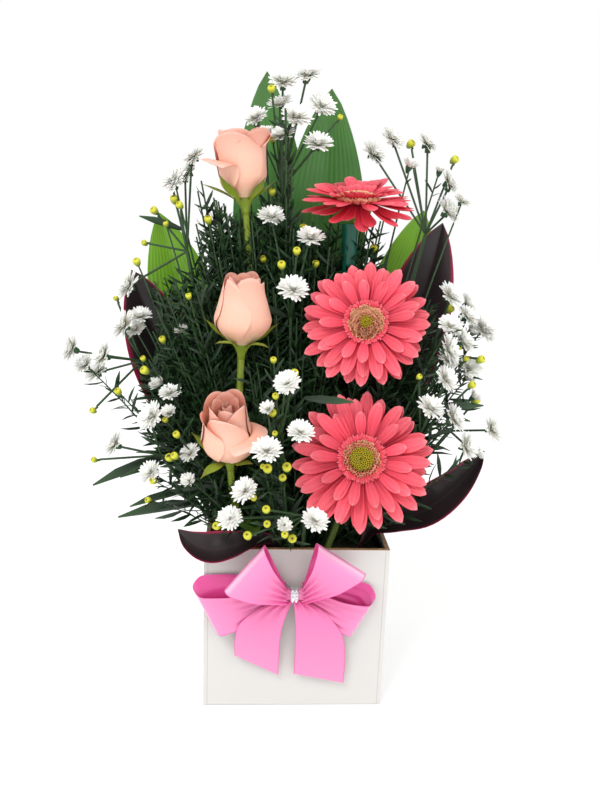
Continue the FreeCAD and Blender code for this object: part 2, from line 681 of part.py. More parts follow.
# A tail's run: share of its length, share of its spread, and how far it stands behind the bow's middle.
TAIL_RUN = ((0, 0, -1.4), (0.16, 0.45, -1.7), (0.4, 0.85, -1.6), (0.7, 1, 1.0), (1, 1, 3.0))
keep_shape("bow_loop_upper_left", loop(-1, -3.8, (-24, 44), (-52, 9), 8, 6.5, 0))
keep_shape("bow_loop_upper_right", loop(1, -3.8, (15, 46), (51, 23), 8, 6.5, 0))
keep_shape("bow_loop_lower_left", loop(-1, 2.2, (-76, 4), (-59, -30), -0.8, 2.6, 7))
keep_shape("bow_loop_lower_right", loop(1, 2.2, (62, -3), (47, -30), -0.8, 2.6, 7))
keep_shape("bow_tail_left", tail(-1, ((-44, -45), (-9, -62))))
keep_shape("bow_tail_right", tail(1, ((2, -61), (41, -68))))
glue = doc.addObject("Part::Prism", "bow_glue_pad")
glue.Polygon = 16
glue.setExpression("Circumradius", "dims.glue_width / 2")
glue.setExpression("Height", "dims.glue_thick")
glue_seat = Vector(bow_middle.x, box_front, bow_middle.z)
glue.Placement = FreeCAD.Placement(glue_seat, FreeCAD.Rotation(UP, Vector(0, -1, 0)))
keep("bow_glue_pad", glue)
knot_start = bow_middle - Vector(size_of("knot_length") / 2, 0, 0)
knot_profile = [(knot_radius, 0), (knot_radius, size_of("knot_length"))]
keep_shape("bow_knot", turned(knot_profile, knot_start, Vector(1, 0, 0), 10))
band_way = Vector(1, 0, 0)
band_half = band_way * (size_of("band_width") / 2)
band_path = [(bow_middle - band_half, band_way), (bow_middle + band_half, band_way)]
keep_shape("bow_band", swept(band_path, band_outer, band_inner, 16))
stones = []
for column in (-1, 1):
    for turn in (-50, -25, 0, 25, 50):
        out = Vector(0, -math.cos(math.radians(turn)), math.sin(math.radians(turn)))
        seat = bow_middle + out * (band_outer + 0.05) + Vector(column * size_of("band_width") * 0.25, 0, 0)
        girdle = size_of("stone_width") / 2
        stones.append(turned([(girdle, 0), (girdle / 2, size_of("stone_height"))], seat, out, 8))
keep_shape("bow_stones", Part.makeCompound(stones))


# Narrow leaves up each aster stem: each one turns about its stem until it stands clear of its neighbours.
def stands_clear(solid, others):
    """Whether a solid keeps the neighbour gap to every other solid."""
    reach = solid.BoundBox
    reach.enlarge(size_of("neighbour_gap"))
    near = [other for other in others if reach.intersect(other.BoundBox)]
    return all(solid.distToShape(other)[0] > size_of("neighbour_gap") for other in near)


def narrow_leaf(spray, share, turn):
    """A narrow leaf at share of the way from the foam to the fork, turned about the stem."""
    stalk = unit(spray.fork - spray.entry)
    side_way = across(stalk, Vector(1, 0, 0))
    way = side_way * math.cos(turn) + stalk.cross(side_way) * math.sin(turn)
    standoff = size_of("spray_stem") / 2 + size_of("blade_seat")
    start = spray.entry + (spray.fork - spray.entry) * share + way * standoff
    heading, face = way + stalk * 0.75, stalk - way * 0.5
    return leaf(start, heading, face, size_of("needle_length"), size_of("needle_width"), bend=-24, crown=0.06,
                thickness=size_of("needle"), root=1.6, stations=3)


doc.recompute()
standing = [solid for name, obj in pieces.items() if name != "foam_block" for solid in obj.Shape.Solids]
narrow_leaves = {}
for spray in SPRAYS:
    for n in range(spray.needles):
        for attempt in range(9):
            turn = math.radians(GOLDEN_ANGLE * n + 40 * attempt)
            candidate = narrow_leaf(spray, 0.26 + 0.6 * n / (spray.needles - 1), turn)
            if stands_clear(candidate, standing):
                standing.append(candidate)
                narrow_leaves.setdefault(spray.group, []).append(candidate)
                break
for group, solids in narrow_leaves.items():
    keep_shape(f"aster_leaves_{group}", Part.makeCompound(solids))

doc.recompute()
os.makedirs("parts", exist_ok=True)
for obj in doc.Objects:
    if "Invalid" in obj.State or "Error" in obj.State:
        raise RuntimeError(f"{obj.Name} failed: {obj.State}")
for name, obj in pieces.items():
    shape = obj.Shape
    if shape.isNull() or not shape.isValid() or not shape.Solids:
        raise RuntimeError(f"{name} has no valid solid")
for name, obj in pieces.items():
    obj.Shape.exportStep(f"parts/{name}.step")
print(len(pieces), "pieces,", sum(len(o.Shape.Solids) for o in pieces.values()), "solids")
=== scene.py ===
"""Florist's flower box in its photograph's view: a board box, a satin bow, cut flowers and leaves.

Lengths are millimetres in the CAD frame until a mesh is made, and colours are sRGB hex values.
"""

import bpy
import math
import random
from mathutils import Matrix, Vector


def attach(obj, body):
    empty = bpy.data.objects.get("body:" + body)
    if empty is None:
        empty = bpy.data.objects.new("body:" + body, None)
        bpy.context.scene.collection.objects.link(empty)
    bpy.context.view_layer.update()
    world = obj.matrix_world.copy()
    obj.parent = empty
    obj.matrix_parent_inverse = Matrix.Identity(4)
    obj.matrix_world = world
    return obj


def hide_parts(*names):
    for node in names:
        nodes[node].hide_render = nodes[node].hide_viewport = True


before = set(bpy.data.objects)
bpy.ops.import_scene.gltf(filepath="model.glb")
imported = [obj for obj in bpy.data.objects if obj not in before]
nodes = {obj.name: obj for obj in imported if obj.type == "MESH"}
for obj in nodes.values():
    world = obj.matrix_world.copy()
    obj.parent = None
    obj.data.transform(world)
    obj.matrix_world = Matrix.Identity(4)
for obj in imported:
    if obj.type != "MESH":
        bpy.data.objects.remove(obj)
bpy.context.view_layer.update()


# Box boards: five 3 mm boards with a white face, glued edge to edge into an open box.
# The sawn top edge is left raw, so it shows brown, and a hairline marks each corner joint.
def linear(hex_colour):
    """An sRGB hex colour as linear RGBA."""
    parts = [int(hex_colour[i:i + 2], 16) / 255 for i in (1, 3, 5)]
    return tuple(p / 12.92 if p <= 0.04045 else ((p + 0.055) / 1.055) ** 2.4 for p in parts) + (1.0,)


def feed(tree, node, **inputs):
    """Sets a node's inputs: a value or a hex colour is stored, and another node's output is linked."""
    for key, value in inputs.items():
        socket = node.inputs[int(key[1:])] if key[1:].isdigit() else node.inputs[key.replace("_", " ")]
        if isinstance(value, bpy.types.NodeSocket):
            tree.links.new(value, socket)
        elif isinstance(value, str) and value.startswith("#"):
            socket.default_value = linear(value)
        else:
            socket.default_value = value


def add(tree, kind, settings=None, stops=(), **inputs):
    """Adds a node with its settings, its colour stops as (place, hex), and its inputs as feed takes them."""
    node = tree.nodes.new(kind)
    for key, value in (settings or {}).items():
        setattr(node, key, value)
    for n, (place, hex_colour) in enumerate(stops):
        stop = node.color_ramp.elements[n] if n < 2 else node.color_ramp.elements.new(place)
        stop.position = place
        stop.color = linear(hex_colour)
    feed(tree, node, **inputs)
    return node


def new_material(name, **finish):
    """A material with its node tree and its surface shader, whose inputs are set as feed takes them."""
    made = bpy.data.materials.new(name)
    made.use_nodes = True
    surface = made.node_tree.nodes["Principled BSDF"]
    feed(made.node_tree, surface, **finish)
    return made, made.node_tree, surface


PER_METRE = 1000
MOTTLE = 2.5
RGBA = {"data_type": "RGBA"}


def plain(name, light, dark, roughness):
    """A plain material: a 2.5 mm mottle between two close colours keeps it from looking flat."""
    made, tree, surface = new_material(name, Roughness=roughness)
    place = add(tree, "ShaderNodeTexCoord").outputs["Object"]
    mottle = add(tree, "ShaderNodeTexNoise", Vector=place, Scale=PER_METRE / MOTTLE).outputs["Fac"]
    colour = add(tree, "ShaderNodeMix", RGBA, Factor=mottle, _6=light, _7=dark).outputs[2]
    feed(tree, surface, Base_Color=colour)
    return made


def paint(node_name, made):
    """Gives a CAD node its material."""
    nodes[node_name].data.materials.clear()
    nodes[node_name].data.materials.append(made)


# White-faced board: a matt off-white face, and brown fibre along the sawn edge.
# The fibre is about 1.4 mm wide, coarser than the real one so that it shows.
# Where the sawn edge and the joints lie, and a joint's half width, are in metres, as Object coordinates are.
RIM_LINE, JOINT_LINE, HAIR = 0.1316, 0.0670, 0.0003
FIBRES_PER_METRE = 700.0
board, board_tree, board_surface = new_material("white_faced_board", Roughness=0.6)
board_place = add(board_tree, "ShaderNodeTexCoord").outputs["Object"]
board_axes = add(board_tree, "ShaderNodeSeparateXYZ", Vector=board_place).outputs
sawn = add(board_tree, "ShaderNodeMath", {"operation": "GREATER_THAN"}, _0=board_axes["Z"], _1=RIM_LINE)
from_middle = add(board_tree, "ShaderNodeMath", {"operation": "ABSOLUTE"}, _0=board_axes["X"])
past_joint = add(board_tree, "ShaderNodeMath", {"operation": "SUBTRACT"},
                 _0=from_middle.outputs[0], _1=JOINT_LINE)
from_joint = add(board_tree, "ShaderNodeMath", {"operation": "ABSOLUTE"}, _0=past_joint.outputs[0])
joint = add(board_tree, "ShaderNodeMath", {"operation": "LESS_THAN"}, _0=from_joint.outputs[0], _1=HAIR)
fibre = add(board_tree, "ShaderNodeTexNoise", Vector=board_place, Scale=FIBRES_PER_METRE).outputs["Fac"]
raw_edge = add(board_tree, "ShaderNodeValToRGB", stops=[(0.3, "#8C6A48"), (0.7, "#B8946C")], Fac=fibre)
board_face = add(board_tree, "ShaderNodeMix", RGBA, Factor=joint.outputs[0], _6="#D5D4D0", _7="#C3BEB5")
board_colour = add(board_tree, "ShaderNodeMix", RGBA, Factor=sawn.outputs[0],
                   _6=board_face.outputs[2], _7=raw_edge.outputs["Color"])
feed(board_tree, board_surface, Base_Color=board_colour.outputs[2])
for panel in ("front_panel", "back_panel", "left_panel", "right_panel", "base_panel"):
    paint(panel, board)

# Liner and foam: a thin black plastic tray that stands loose inside the boards,
# with a wet green brick of floral foam pressed into it that holds every stem.
# The moulded plastic has a dull gloss, and the soaked foam is dark and dead matt.
paint("liner_tray", plain("black_liner_plastic", "#15161A", "#0C0D0F", 0.35))
paint("foam_block", plain("wet_floral_foam", "#22321C", "#16220F", 0.9))

# Bow: loops and tails of 39 mm satin ribbon, gathered at a knot.
# A stone-set silver band binds the knot, and a dab of hot glue holds it to the front board.
MM = 0.001
BOW_MIDDLE = Vector((-2, -78.1, 99.5))
RIBBON = 39.0
COLUMNS = 41
SMOOTH_FROM = 0.95
DEEPEST_PLEAT = 2.2
EVEN = 0.5


def surface_piece(name, made, grids, body=None, replaced=()):
    """One mesh from grids of (rows of points, pick), with along, across and pick stored on its points."""
    points, faces, along, across, pick = [], [], [], [], []
    for rows, lot in grids:
        first, tall, wide = len(points), len(rows), len(rows[0])
        for r, row in enumerate(rows):
            for c, point in enumerate(row):
                points.append(Vector(point) * MM)
                along.append(r / (tall - 1))
                across.append(2 * c / (wide - 1) - 1)
                pick.append(lot)
        for r in range(tall - 1):
            for c in range(wide - 1):
                corner = first + r * wide + c
                faces.append((corner, corner + 1, corner + wide + 1, corner + wide))
    mesh = bpy.data.meshes.new(name)
    mesh.from_pydata(points, [], faces)
    for key, values in (("along", along), ("across", across), ("pick", pick)):
        mesh.attributes.new(key, "FLOAT", "POINT").data.foreach_set("value", values)
    mesh.shade_smooth()
    mesh.materials.append(made)
    piece = bpy.data.objects.new(name, mesh)
    bpy.context.scene.collection.objects.link(piece)
    if body:
        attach(piece, body)
    if replaced:
        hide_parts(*replaced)
    return piece


# Woven satin: long smooth threads give a soft shine, and a tight selvedge gives one even pink at the edge.
# A weft thread is about 0.7 mm here, coarser than the real one so that it shows.
# A loop's colours run from its back layer over the fold to its front one: painted shade darkens the back
# layer and both ends near the knot, and a painted highlight lies just past the fold.
WEFT_WAVE = 900.0
WEFT_RELIEF = 0.0002
SELVEDGE = 0.97


def satin(name, stops):
    """Satin ribbon with painted light and shade along its run, with a woven edge and a fine weft."""
    made, tree, surface = new_material(name, Roughness=0.3, Sheen_Weight=0.2, Specular_IOR_Level=0.6)
    along = add(tree, "ShaderNodeAttribute", {"attribute_name": "along"}).outputs["Fac"]
    across = add(tree, "ShaderNodeAttribute", {"attribute_name": "across"}).outputs["Fac"]
    run = add(tree, "ShaderNodeMath", {"operation": "MULTIPLY"}, _0=along, _1=WEFT_WAVE).outputs[0]
    weft = add(tree, "ShaderNodeMath", {"operation": "SINE"}, _0=run).outputs[0]
    bump = add(tree, "ShaderNodeBump", Strength=0.05, Distance=WEFT_RELIEF, Height=weft).outputs["Normal"]
    off_middle = add(tree, "ShaderNodeMath", {"operation": "ABSOLUTE"}, _0=across).outputs[0]
    edge = add(tree, "ShaderNodeMath", {"operation": "GREATER_THAN"}, _0=off_middle, _1=SELVEDGE).outputs[0]
    shade = add(tree, "ShaderNodeValToRGB", stops=stops, Fac=along).outputs["Color"]
    colour = add(tree, "ShaderNodeMix", RGBA, Factor=edge, _6=shade, _7="#E2559A").outputs[2]
    feed(tree, surface, Base_Color=colour, Normal=bump)
    return made


# Loop ramp: painted shade on the back layer and towards the knot, deeper pink at the fold, and a painted
# highlight just past it.
loop_satin_painted_light = satin("pink_satin_loop", [(0.0, "#D9378A"), (0.44, "#E04594"), (0.5, "#EC62A8"),
                                       (0.545, "#FBC4E0"), (0.60, "#F58FC0"), (1.0, "#E765A6")])
# Tail ramp: painted shade, darkest where the ribbon leaves the knot and lighter towards the cut.
tail_satin_painted_shade = satin("pink_satin_tail", [(0.0, "#DD4C93"), (0.2, "#EC72AC"), (1.0, "#F28CBC")])


def smooth_path(keys, count):
    """Points along a smooth curve through the keys."""
    ends = [2 * keys[0] - keys[1]] + list(keys) + [2 * keys[-1] - keys[-2]]
    made = []
    for n in range(count):
        place = n / (count - 1) * (len(keys) - 1)
        k = min(int(place), len(keys) - 2)
        t = place - k
        a, b, c, d = ends[k:k + 4]
        cubic = (3 * b - a - 3 * c + d) * t ** 3
        made.append(0.5 * (2 * b + (c - a) * t + (2 * a - 5 * b + 4 * c - d) * t * t + cubic))
    return made


def gathered(left_edge, right_edge, waves, phase):
    """Rows of a ribbon between two edges: where the edges draw in, the spare width goes into pleats."""
    rows = []
    last = len(left_edge) - 1
    for n, (left, right) in enumerate(zip(left_edge, right_edge)):
        before, after = max(0, n - 1), min(last, n + 1)
        run = left_edge[after] + right_edge[after] - left_edge[before] - right_edge[before]
        face = run.cross(right - left).normalized()
        width = (right - left).length
        fullness = max(1.0, RIBBON / width)
        depth = width / waves / (2 * math.pi) * math.sqrt(2 * (fullness ** 2 - 1))
        depth = min(depth, DEEPEST_PLEAT) * max(0.0, 1 - width / (SMOOTH_FROM * RIBBON))
        row = []
        for c in range(COLUMNS):
            share = c / (COLUMNS - 1)
            pleat = depth * math.sin(2 * math.pi * waves * share + phase)
            row.append(left.lerp(right, share) + face * pleat)
        rows.append(row)
    return rows


# A loop's back layer, as (share of the way out, share of its half thickness); the front layer mirrors it.
LOOP_LAYER = ((0, 0.2), (0.25, 0.55), (0.55, 0.95), (0.8, 1.0), (0.93, 0.85), (1.0, 0.0))
WAIST = 6.0
LEANS_BY = 0.6
LOOP_STEPS, LOOP_WAVES = 64, 4


def bow_loop(name, side, depth, upper, lower, lean, half_thickness, drop):
    """A loop with its fold between upper and lower, (x, z) from the bow's middle; length is in metres."""
    path = LOOP_LAYER + tuple((out, -off) for out, off in reversed(LOOP_LAYER[:-1]))
    start = side * WAIST
    edges = []
    for corner, waist in ((upper, WAIST), (lower, -WAIST)):
        keys = []
        for out, off in path:
            x = start + (corner[0] - start) * out
            y = depth - lean * min(1.0, out / LEANS_BY) + half_thickness * off
            z = waist + (corner[1] - waist) * out + drop * off
            keys.append(BOW_MIDDLE + Vector((x, y, z)))
        edges.append(smooth_path(keys, LOOP_STEPS))
    rows = gathered(*edges, LOOP_WAVES, side)
    piece = surface_piece(name + "_ribbon", loop_satin_painted_light, [(rows, EVEN)], "box", [name])


bow_loop("bow_loop_upper_left", -1, -3.8, (-24, 44), (-52, 9), 9, 8.5, 0)
bow_loop("bow_loop_upper_right", 1, -3.8, (15, 46), (51, 23), 9, 8.5, 0)
bow_loop("bow_loop_lower_left", -1, 2.2, (-76, 4), (-59, -30), -0.5, 3.2, 8)
bow_loop("bow_loop_lower_right", 1, 2.2, (62, -3), (47, -30), -0.5, 3.2, 8)

# A tail's run, as (share of the way down, share of its spread, how far it stands off towards the board).
TAIL_RUN = ((0, 0, -1.4), (0.16, 0.5, -2.0), (0.4, 0.9, -2.4), (0.7, 1, 0.6), (1, 1, 2.4))
TAIL_STEPS, TAIL_WAVES = 40, 3
TAIL_OFFSET, TAIL_HALF_ROOT, TAIL_TOP = 4.0, 4.5, -4


def bow_tail(name, side, corners):
    """A tail from under the knot to its slanted cut, whose corners are (x, z); length is in metres."""
    edges = []
    for hand, (x, z) in zip((-1, 1), corners):
        root = side * TAIL_OFFSET + hand * TAIL_HALF_ROOT
        keys = [BOW_MIDDLE + Vector((root + (x - root) * spread, stand, TAIL_TOP + (z - TAIL_TOP) * share))
                for share, spread, stand in TAIL_RUN]
        edges.append(smooth_path(keys, TAIL_STEPS))
    rows = gathered(*edges, TAIL_WAVES, side)
    piece = surface_piece(name + "_ribbon", tail_satin_painted_shade, [(rows, EVEN)], "box", [name])


bow_tail("bow_tail_left", -1, ((-44, -53), (-10, -70)))
bow_tail("bow_tail_right", 1, ((2, -69), (41, -77)))


def ring(sides):
    """The angles round a circle, with the first one again at the end to close it."""
    return [2 * math.pi * n / sides for n in range(sides + 1)]


KNOT_LENGTH, KNOT_RADIUS, KNOT_FLARE = 18, 3.9, 0.9
KNOT_PLEATS, PLEAT_HEIGHT, KNOT_STEPS = 9, 0.35, 24
knot_rows = []
for n in range(KNOT_STEPS + 1):
    lengthwise = (n / KNOT_STEPS - 0.5) * KNOT_LENGTH
    flare = KNOT_RADIUS + KNOT_FLARE * (abs(lengthwise) / (KNOT_LENGTH / 2)) ** 2
    knot_row = []
    for angle in ring(8 * KNOT_PLEATS):
        radius = flare + PLEAT_HEIGHT * math.cos(KNOT_PLEATS * angle)
        around = Vector((lengthwise, radius * math.cos(angle), radius * math.sin(angle)))
        knot_row.append(BOW_MIDDLE + around)
    knot_rows.append(knot_row)
# The knot takes the tail satin, so the ramp's painted shade darkens its left end.
surface_piece("bow_knot_pleats", tail_satin_painted_shade, [(knot_rows, EVEN)], "box", ["bow_knot"])

# Polished silver and cut stones: both mirror the room, so the band is a small bright point.
paint("bow_band", new_material("bright_silver", Base_Color="#D9DADF", Metallic=1.0, Roughness=0.18)[0])
paint("bow_stones", new_material("faceted_stone", Base_Color="#F4F6FA", Metallic=0.6, Roughness=0.05)[0])
# Hot-melt glue: set from a melt, so it is smooth, milky and a little glossy.
glue = plain("hot_melt_glue", "#DCD7CB", "#C4BDAE", 0.3)
GLUE_HALF_WIDTH, GLUE_HALF_HEIGHT, GLUE_BELOW = 7, 3.5, 1.5
# The dab's steps from the board to the knot, as (share of its size, depth).
GLUE_STEPS = ((0.1, -70.0), (1.0, -70.0), (1.0, -73.0), (0.8, -74.6), (0.1, -74.8))
glue_rows = [[Vector((BOW_MIDDLE.x + GLUE_HALF_WIDTH * share * math.cos(angle), depth,
                      BOW_MIDDLE.z - GLUE_BELOW + GLUE_HALF_HEIGHT * share * math.sin(angle)))
              for angle in ring(24)] for share, depth in GLUE_STEPS]
surface_piece("bow_glue_dab", glue, [(glue_rows, EVEN)], "box", ["bow_glue_pad"])

# Roses: three peach cut roses on the left, each on a smooth green stem pushed into the foam.
# Petals wrap a closed spiral heart, the outer ones roll back at the lip, and five sepals curl from the hip.
chance = random.Random(7)
GLOW_DEPTH = (0.004, 0.002, 0.001)
VEIN_RELIEF = 0.0006


def living(name, stops, roughness=0.5, veins=0.0, vein_depth=0.3, glow=0.12):
    """A petal or leaf skin shaded along its length, varied from one to the next, with lengthwise veins."""
    made, tree, surface = new_material(name, Roughness=roughness, Subsurface_Weight=glow,
                                       Subsurface_Radius=GLOW_DEPTH)
    along = add(tree, "ShaderNodeAttribute", {"attribute_name": "along"}).outputs["Fac"]
    pick = add(tree, "ShaderNodeAttribute", {"attribute_name": "pick"}).outputs["Fac"]
    shade = add(tree, "ShaderNodeValToRGB", stops=stops, Fac=along).outputs["Color"]
    value = add(tree, "ShaderNodeMapRange", Value=pick, To_Min=0.82, To_Max=1.14).outputs["Result"]
    varied = add(tree, "ShaderNodeHueSaturation", Value=value, Color=shade).outputs["Color"]
    feed(tree, surface, Base_Color=varied)
    if veins:
        across = add(tree, "ShaderNodeAttribute", {"attribute_name": "across"}).outputs["Fac"]
        run = add(tree, "ShaderNodeMath", {"operation": "MULTIPLY"}, _0=across, _1=veins).outputs[0]
        wave = add(tree, "ShaderNodeMath", {"operation": "COSINE"}, _0=run).outputs[0]
        bump = add(tree, "ShaderNodeBump", Strength=vein_depth, Distance=VEIN_RELIEF, Height=wave)
        feed(tree, surface, Normal=bump.outputs["Normal"])
    return made


def square_to(axis, hint):
    """The unit part of hint that is square to axis."""
    return (hint - axis * hint.dot(axis)).normalized()


STALK_WIDTH, TIP_WIDTH = 4, 0.6
BLADE_COLUMNS = 16


def leaf_rows(start, direction, face, length, width, bend, crown, wave,
              fullness=0.75, shoulder=0.85, steps=33):
    """Rows of a leaf that bends towards face, with a folded midrib and a gently waved edge."""
    direction = direction.normalized()
    face = square_to(direction, face)
    turn = math.radians(bend)
    rows = []
    for r in range(steps):
        t = r / (steps - 1)
        angle = turn * t
        ahead, inward = length / turn * math.sin(angle), length / turn * (1 - math.cos(angle))
        middle = start + direction * ahead + face * inward
        normal = face * math.cos(angle) - direction * math.sin(angle)
        side = (direction * math.cos(angle) + face * math.sin(angle)).cross(normal)
        body = math.sin(math.pi * t ** shoulder) ** fullness if 0 < t < 1 else 0.0
        broad = max(STALK_WIDTH * (1 - t) + TIP_WIDTH * t, width * body)
        row = []
        for c in range(BLADE_COLUMNS + 1):
            u = 2 * c / BLADE_COLUMNS - 1
            ripple = wave * broad * u * u * math.sin(9 * t + 2 * u)
            fold = -1.3 * crown * broad * (1 - abs(u)) ** 1.5 + ripple
            row.append(middle + side * (u * broad / 2) + normal * fold)
        rows.append(row)
    return rows


class Head:
    """A flower head's own frame: its foot, its axis, and two ways across."""

    def __init__(self, foot, way):
        self.foot, self.axis = Vector(foot), Vector(way).normalized()
        self.side = square_to(self.axis, Vector((1, 0, 0)))
        self.other = self.axis.cross(self.side)

    def radial(self, angle):
        """The way out from the axis at an angle."""
        return self.side * math.cos(angle) + self.other * math.sin(angle)

    def polar(self, radius, angle, height):
        """The point at a radius and an angle round the axis, and a height along it."""
        return self.foot + self.axis * height + self.radial(angle) * radius

    def turned(self, profile):
        """Rows of a round form through (radius, height) steps."""
        return [[self.polar(radius, angle, height) for angle in ring(32)] for radius, height in profile]


# Rose petal: velvety and soft, so it is matt, and light passes through its thin lip.
# Its veins are about 4.5 mm apart, coarser than the real ones so that they show.
rose_skin = living("peach_rose_petal", [(0.0, "#EBCBA4"), (0.22, "#F0B89E"), (0.65, "#F4BEA9"),
                                        (0.93, "#F2B29D"), (1.0, "#F6C6B6")],
                   roughness=0.55, veins=34.0, vein_depth=0.06, glow=0.3)
# Stem, sepal and leaf skins: waxy greens with a dull gloss, browner at the sepals' tips.
rose_green = plain("rose_stem_skin", "#90A530", "#7A8E28", 0.45)
sepal_skin = living("rose_sepal_skin", [(0.0, "#8FA32A"), (0.6, "#7C9226"), (1.0, "#6E6A24")], roughness=0.5)
# Each rose: CAD node, hip place, head's way, lip's share of the belly, belly, then its outer petals as
# (heading in degrees from the right, height, roll of the lip).
ROSES = [
    ("rose_top", (-45, -2, 386), (-0.10, -0.08, 1), 1.06, 17.5,
     ((190, 38, 13), (250, 50, 3), (320, 52, 4), (20, 49, 6), (100, 53, 4))),
    ("rose_middle", (-45, -40, 282), (0.02, -0.12, 1), 0.62, 20.0,
     ((215, 49, 0.5), (290, 52, 1), (345, 48, 2), (60, 52, 1), (140, 51, 1))),
    ("rose_lower", (-52, -66, 202), (-0.06, -0.42, 1), 0.74, 18.5,
     ((190, 44, 5), (255, 46, 1.5), (335, 34, 15), (60, 52, 2), (125, 51, 2))),
]
# The inner petals of every rose, which also have their share of the belly.
INNER_PETALS = (tuple((heading, 50, 1.0, 0.62) for heading in (30, 150, 270))
                + tuple((heading, 51, 1.5, 0.8) for heading in (90, 210, 330)))
HIP_PROFILE = ((0.5, -12), (2.7, -11.5), (3.0, -8), (4.6, -4), (6.6, -0.8), (7.4, 1.6), (6.6, 2.6))
HEART_ROWS, HEART_STEPS, HEART_TURN = 14, 70, 0.2
PETAL_STEPS = 20
HALF_PETAL = math.radians(74)
ROLLS_FROM = 0.62
ROSE_MIDDLE, ROSE_REACH = 26, 27
SEPALS, SEPAL_WIDTH, SEPAL_RADIUS, SEPAL_FOOT = 5, 9, 6.4, -0.8


def rose_heart(head, lip_share):
    """The heart: one petal wound into a spiral, lower towards its outer end."""
    rows = []
    for r in range(HEART_ROWS + 1):
        v = r / HEART_ROWS
        swell = math.sin(math.pi * (0.2 + 0.55 * v))
        row = []
        for c in range(HEART_STEPS + 1):
            radius = (1.5 + 9.5 * c / HEART_STEPS) * swell * (0.6 + 0.4 * lip_share)
            height = 3 + 46 * v - 6 * v * (c / HEART_STEPS) ** 2 + 1.2 * v * math.sin(c * 0.5)
            row.append(head.polar(radius, HEART_TURN * c, height))
        rows.append(row)
    return rows


def rose_petal(head, lip_share, belly, heading, tall, lip, share):
    """A petal round the heart: it swells to the belly, draws in or opens above it, and rolls its lip."""
    rows = []
    for r in range(PETAL_STEPS + 1):
        v = r / PETAL_STEPS
        body = math.sin(math.pi / 2 * min(1.0, 0.22 + v / 0.46))
        body *= 1 + (lip_share - 1) * max(0.0, v - 0.4) / 0.6
        curl = max(0.0, v - ROLLS_FROM) / (1 - ROLLS_FROM)
        row = []
        for c in range(PETAL_STEPS + 1):
            u = 2 * c / PETAL_STEPS - 1
            radius = belly * share * body + 1.3 * u * min(1.0, 3 * v) + lip * curl ** 2 * (1 - 0.3 * u * u)
            height = tall * v * (1 - 0.17 * u * u * v) - 0.6 * lip * curl ** 2.5
            swing = HALF_PETAL * u * (0.62 + 0.38 * min(1.0, 2 * v)) * (1 - 0.3 * curl ** 2)
            row.append(head.polar(radius, math.radians(heading) + swing, height + 0.6))
        rows.append(row)
    return rows


rose_heads = []
for name, hip, way, lip_share, belly, outer_petals in ROSES:
    head = Head(hip, way)
    rose_heads.append((head.foot + head.axis * ROSE_MIDDLE, ROSE_REACH))
    petals = [(rose_heart(head, lip_share), 0.25)]
    for petal in INNER_PETALS + tuple(petal + (1.0,) for petal in outer_petals):
        petals.append((rose_petal(head, lip_share, belly, *petal), chance.uniform(0.35, 0.8)))
    surface_piece(name + "_bloom", rose_skin, petals, "arrangement", [name + "_petals"])
    calyx = [(head.turned(HIP_PROFILE), EVEN)]
    for n in range(SEPALS):
        angle = math.radians(360 / SEPALS * n + 20)
        out = head.radial(angle)
        start = head.polar(SEPAL_RADIUS, angle, SEPAL_FOOT)
        sepal = leaf_rows(start, out * 1.4 + head.axis, out, chance.uniform(24, 32), SEPAL_WIDTH,
                          chance.uniform(-16, 45), 0.1, 0.03, fullness=1.3, steps=15)
        calyx.append((sepal, chance.uniform(0.3, 0.8)))
    surface_piece(name + "_calyx", sepal_skin, calyx, "arrangement", [name + "_hip"])
    paint(name + "_stem", rose_green)
paint("rose_leaves", plain("rose_leaf_skin", "#5C7A2C", "#3E5E22", 0.45))

# Gerberas: three coral gerberas on the right, with layers of grooved rays and a ring of short inner ones.
# A green cup holds each head, the stems are pushed into the foam, and a straw stiffens the tallest one.
# Gerbera ray: satin-smooth and even, deep red at its foot; its grooves are about 2 mm apart.
gerbera_skin = living("coral_gerbera_ray", [(0.0, "#A8142E"), (0.22, "#D62C46"), (0.6, "#EC475C"),
                                            (0.9, "#F0606F"), (1.0, "#F58790")],
                      roughness=0.5, veins=14.0, vein_depth=0.35, glow=0.1)
# Gerbera stem skin: a downy green, so it has little gloss.
gerbera_green = plain("gerbera_stem_skin", "#6E8A35", "#566E2A", 0.5)
HUB = 11.5
RAY_ROWS, RAY_COLUMNS = 14, 8
ROUND_FROM, ROUNDING = 0.68, 0.1035
CUP_PROFILE = ((0.5, -15.4), (3.0, -15), (7.5, -11.5), (10.4, -7), (11.8, -2), (12, -0.4), (10, 0.2))
# Each gerbera: CAD node, disc place, facing, reach of its rays, the lift of its four layers, and how far its
# front upper rays stand up before the disc.
GERBERAS = [("gerbera_top", (41, -2, 386), (-0.02, -0.20, 0.98), 47, (-6, 8, 20, 50), 52),
            ("gerbera_middle", (47, -40, 299), (-0.16, -0.90, 0.42), 50, (-2, 8, 16, 34), 0),
            ("gerbera_lower", (45, -66, 202), (-0.10, -0.90, 0.42), 54, (-3, 5, 13, 34), 0)]


def gerbera_ray(head, out, layer, length, rise, droop, twist, widest):
    """A strap-shaped ray with a groove along it and a rounded tip."""
    tangent = head.axis.cross(out)
    rows = []
    for r in range(RAY_ROWS + 1):
        t = r / RAY_ROWS
        tip = math.sqrt(max(0.0, 1 - max(0, t - ROUND_FROM) ** 2 / ROUNDING))
        broad = widest * min(1.0, 0.40 + 0.95 * t) * max(0.1, tip)
        row = []
        for c in range(RAY_COLUMNS + 1):
            u = 2 * c / RAY_COLUMNS - 1
            groove = 0.035 * broad * math.cos(2 * math.pi * u) - 0.06 * broad * (1 - u * u)
            climb = math.sin(rise) * length * (t - droop * t * t)
            height = layer + climb + groove + twist * t * u * broad / 2
            radius = HUB + length * t * math.cos(rise)
            row.append(head.foot + out * radius + tangent * (u * broad / 2) + head.axis * height)
        rows.append(row)
    return rows


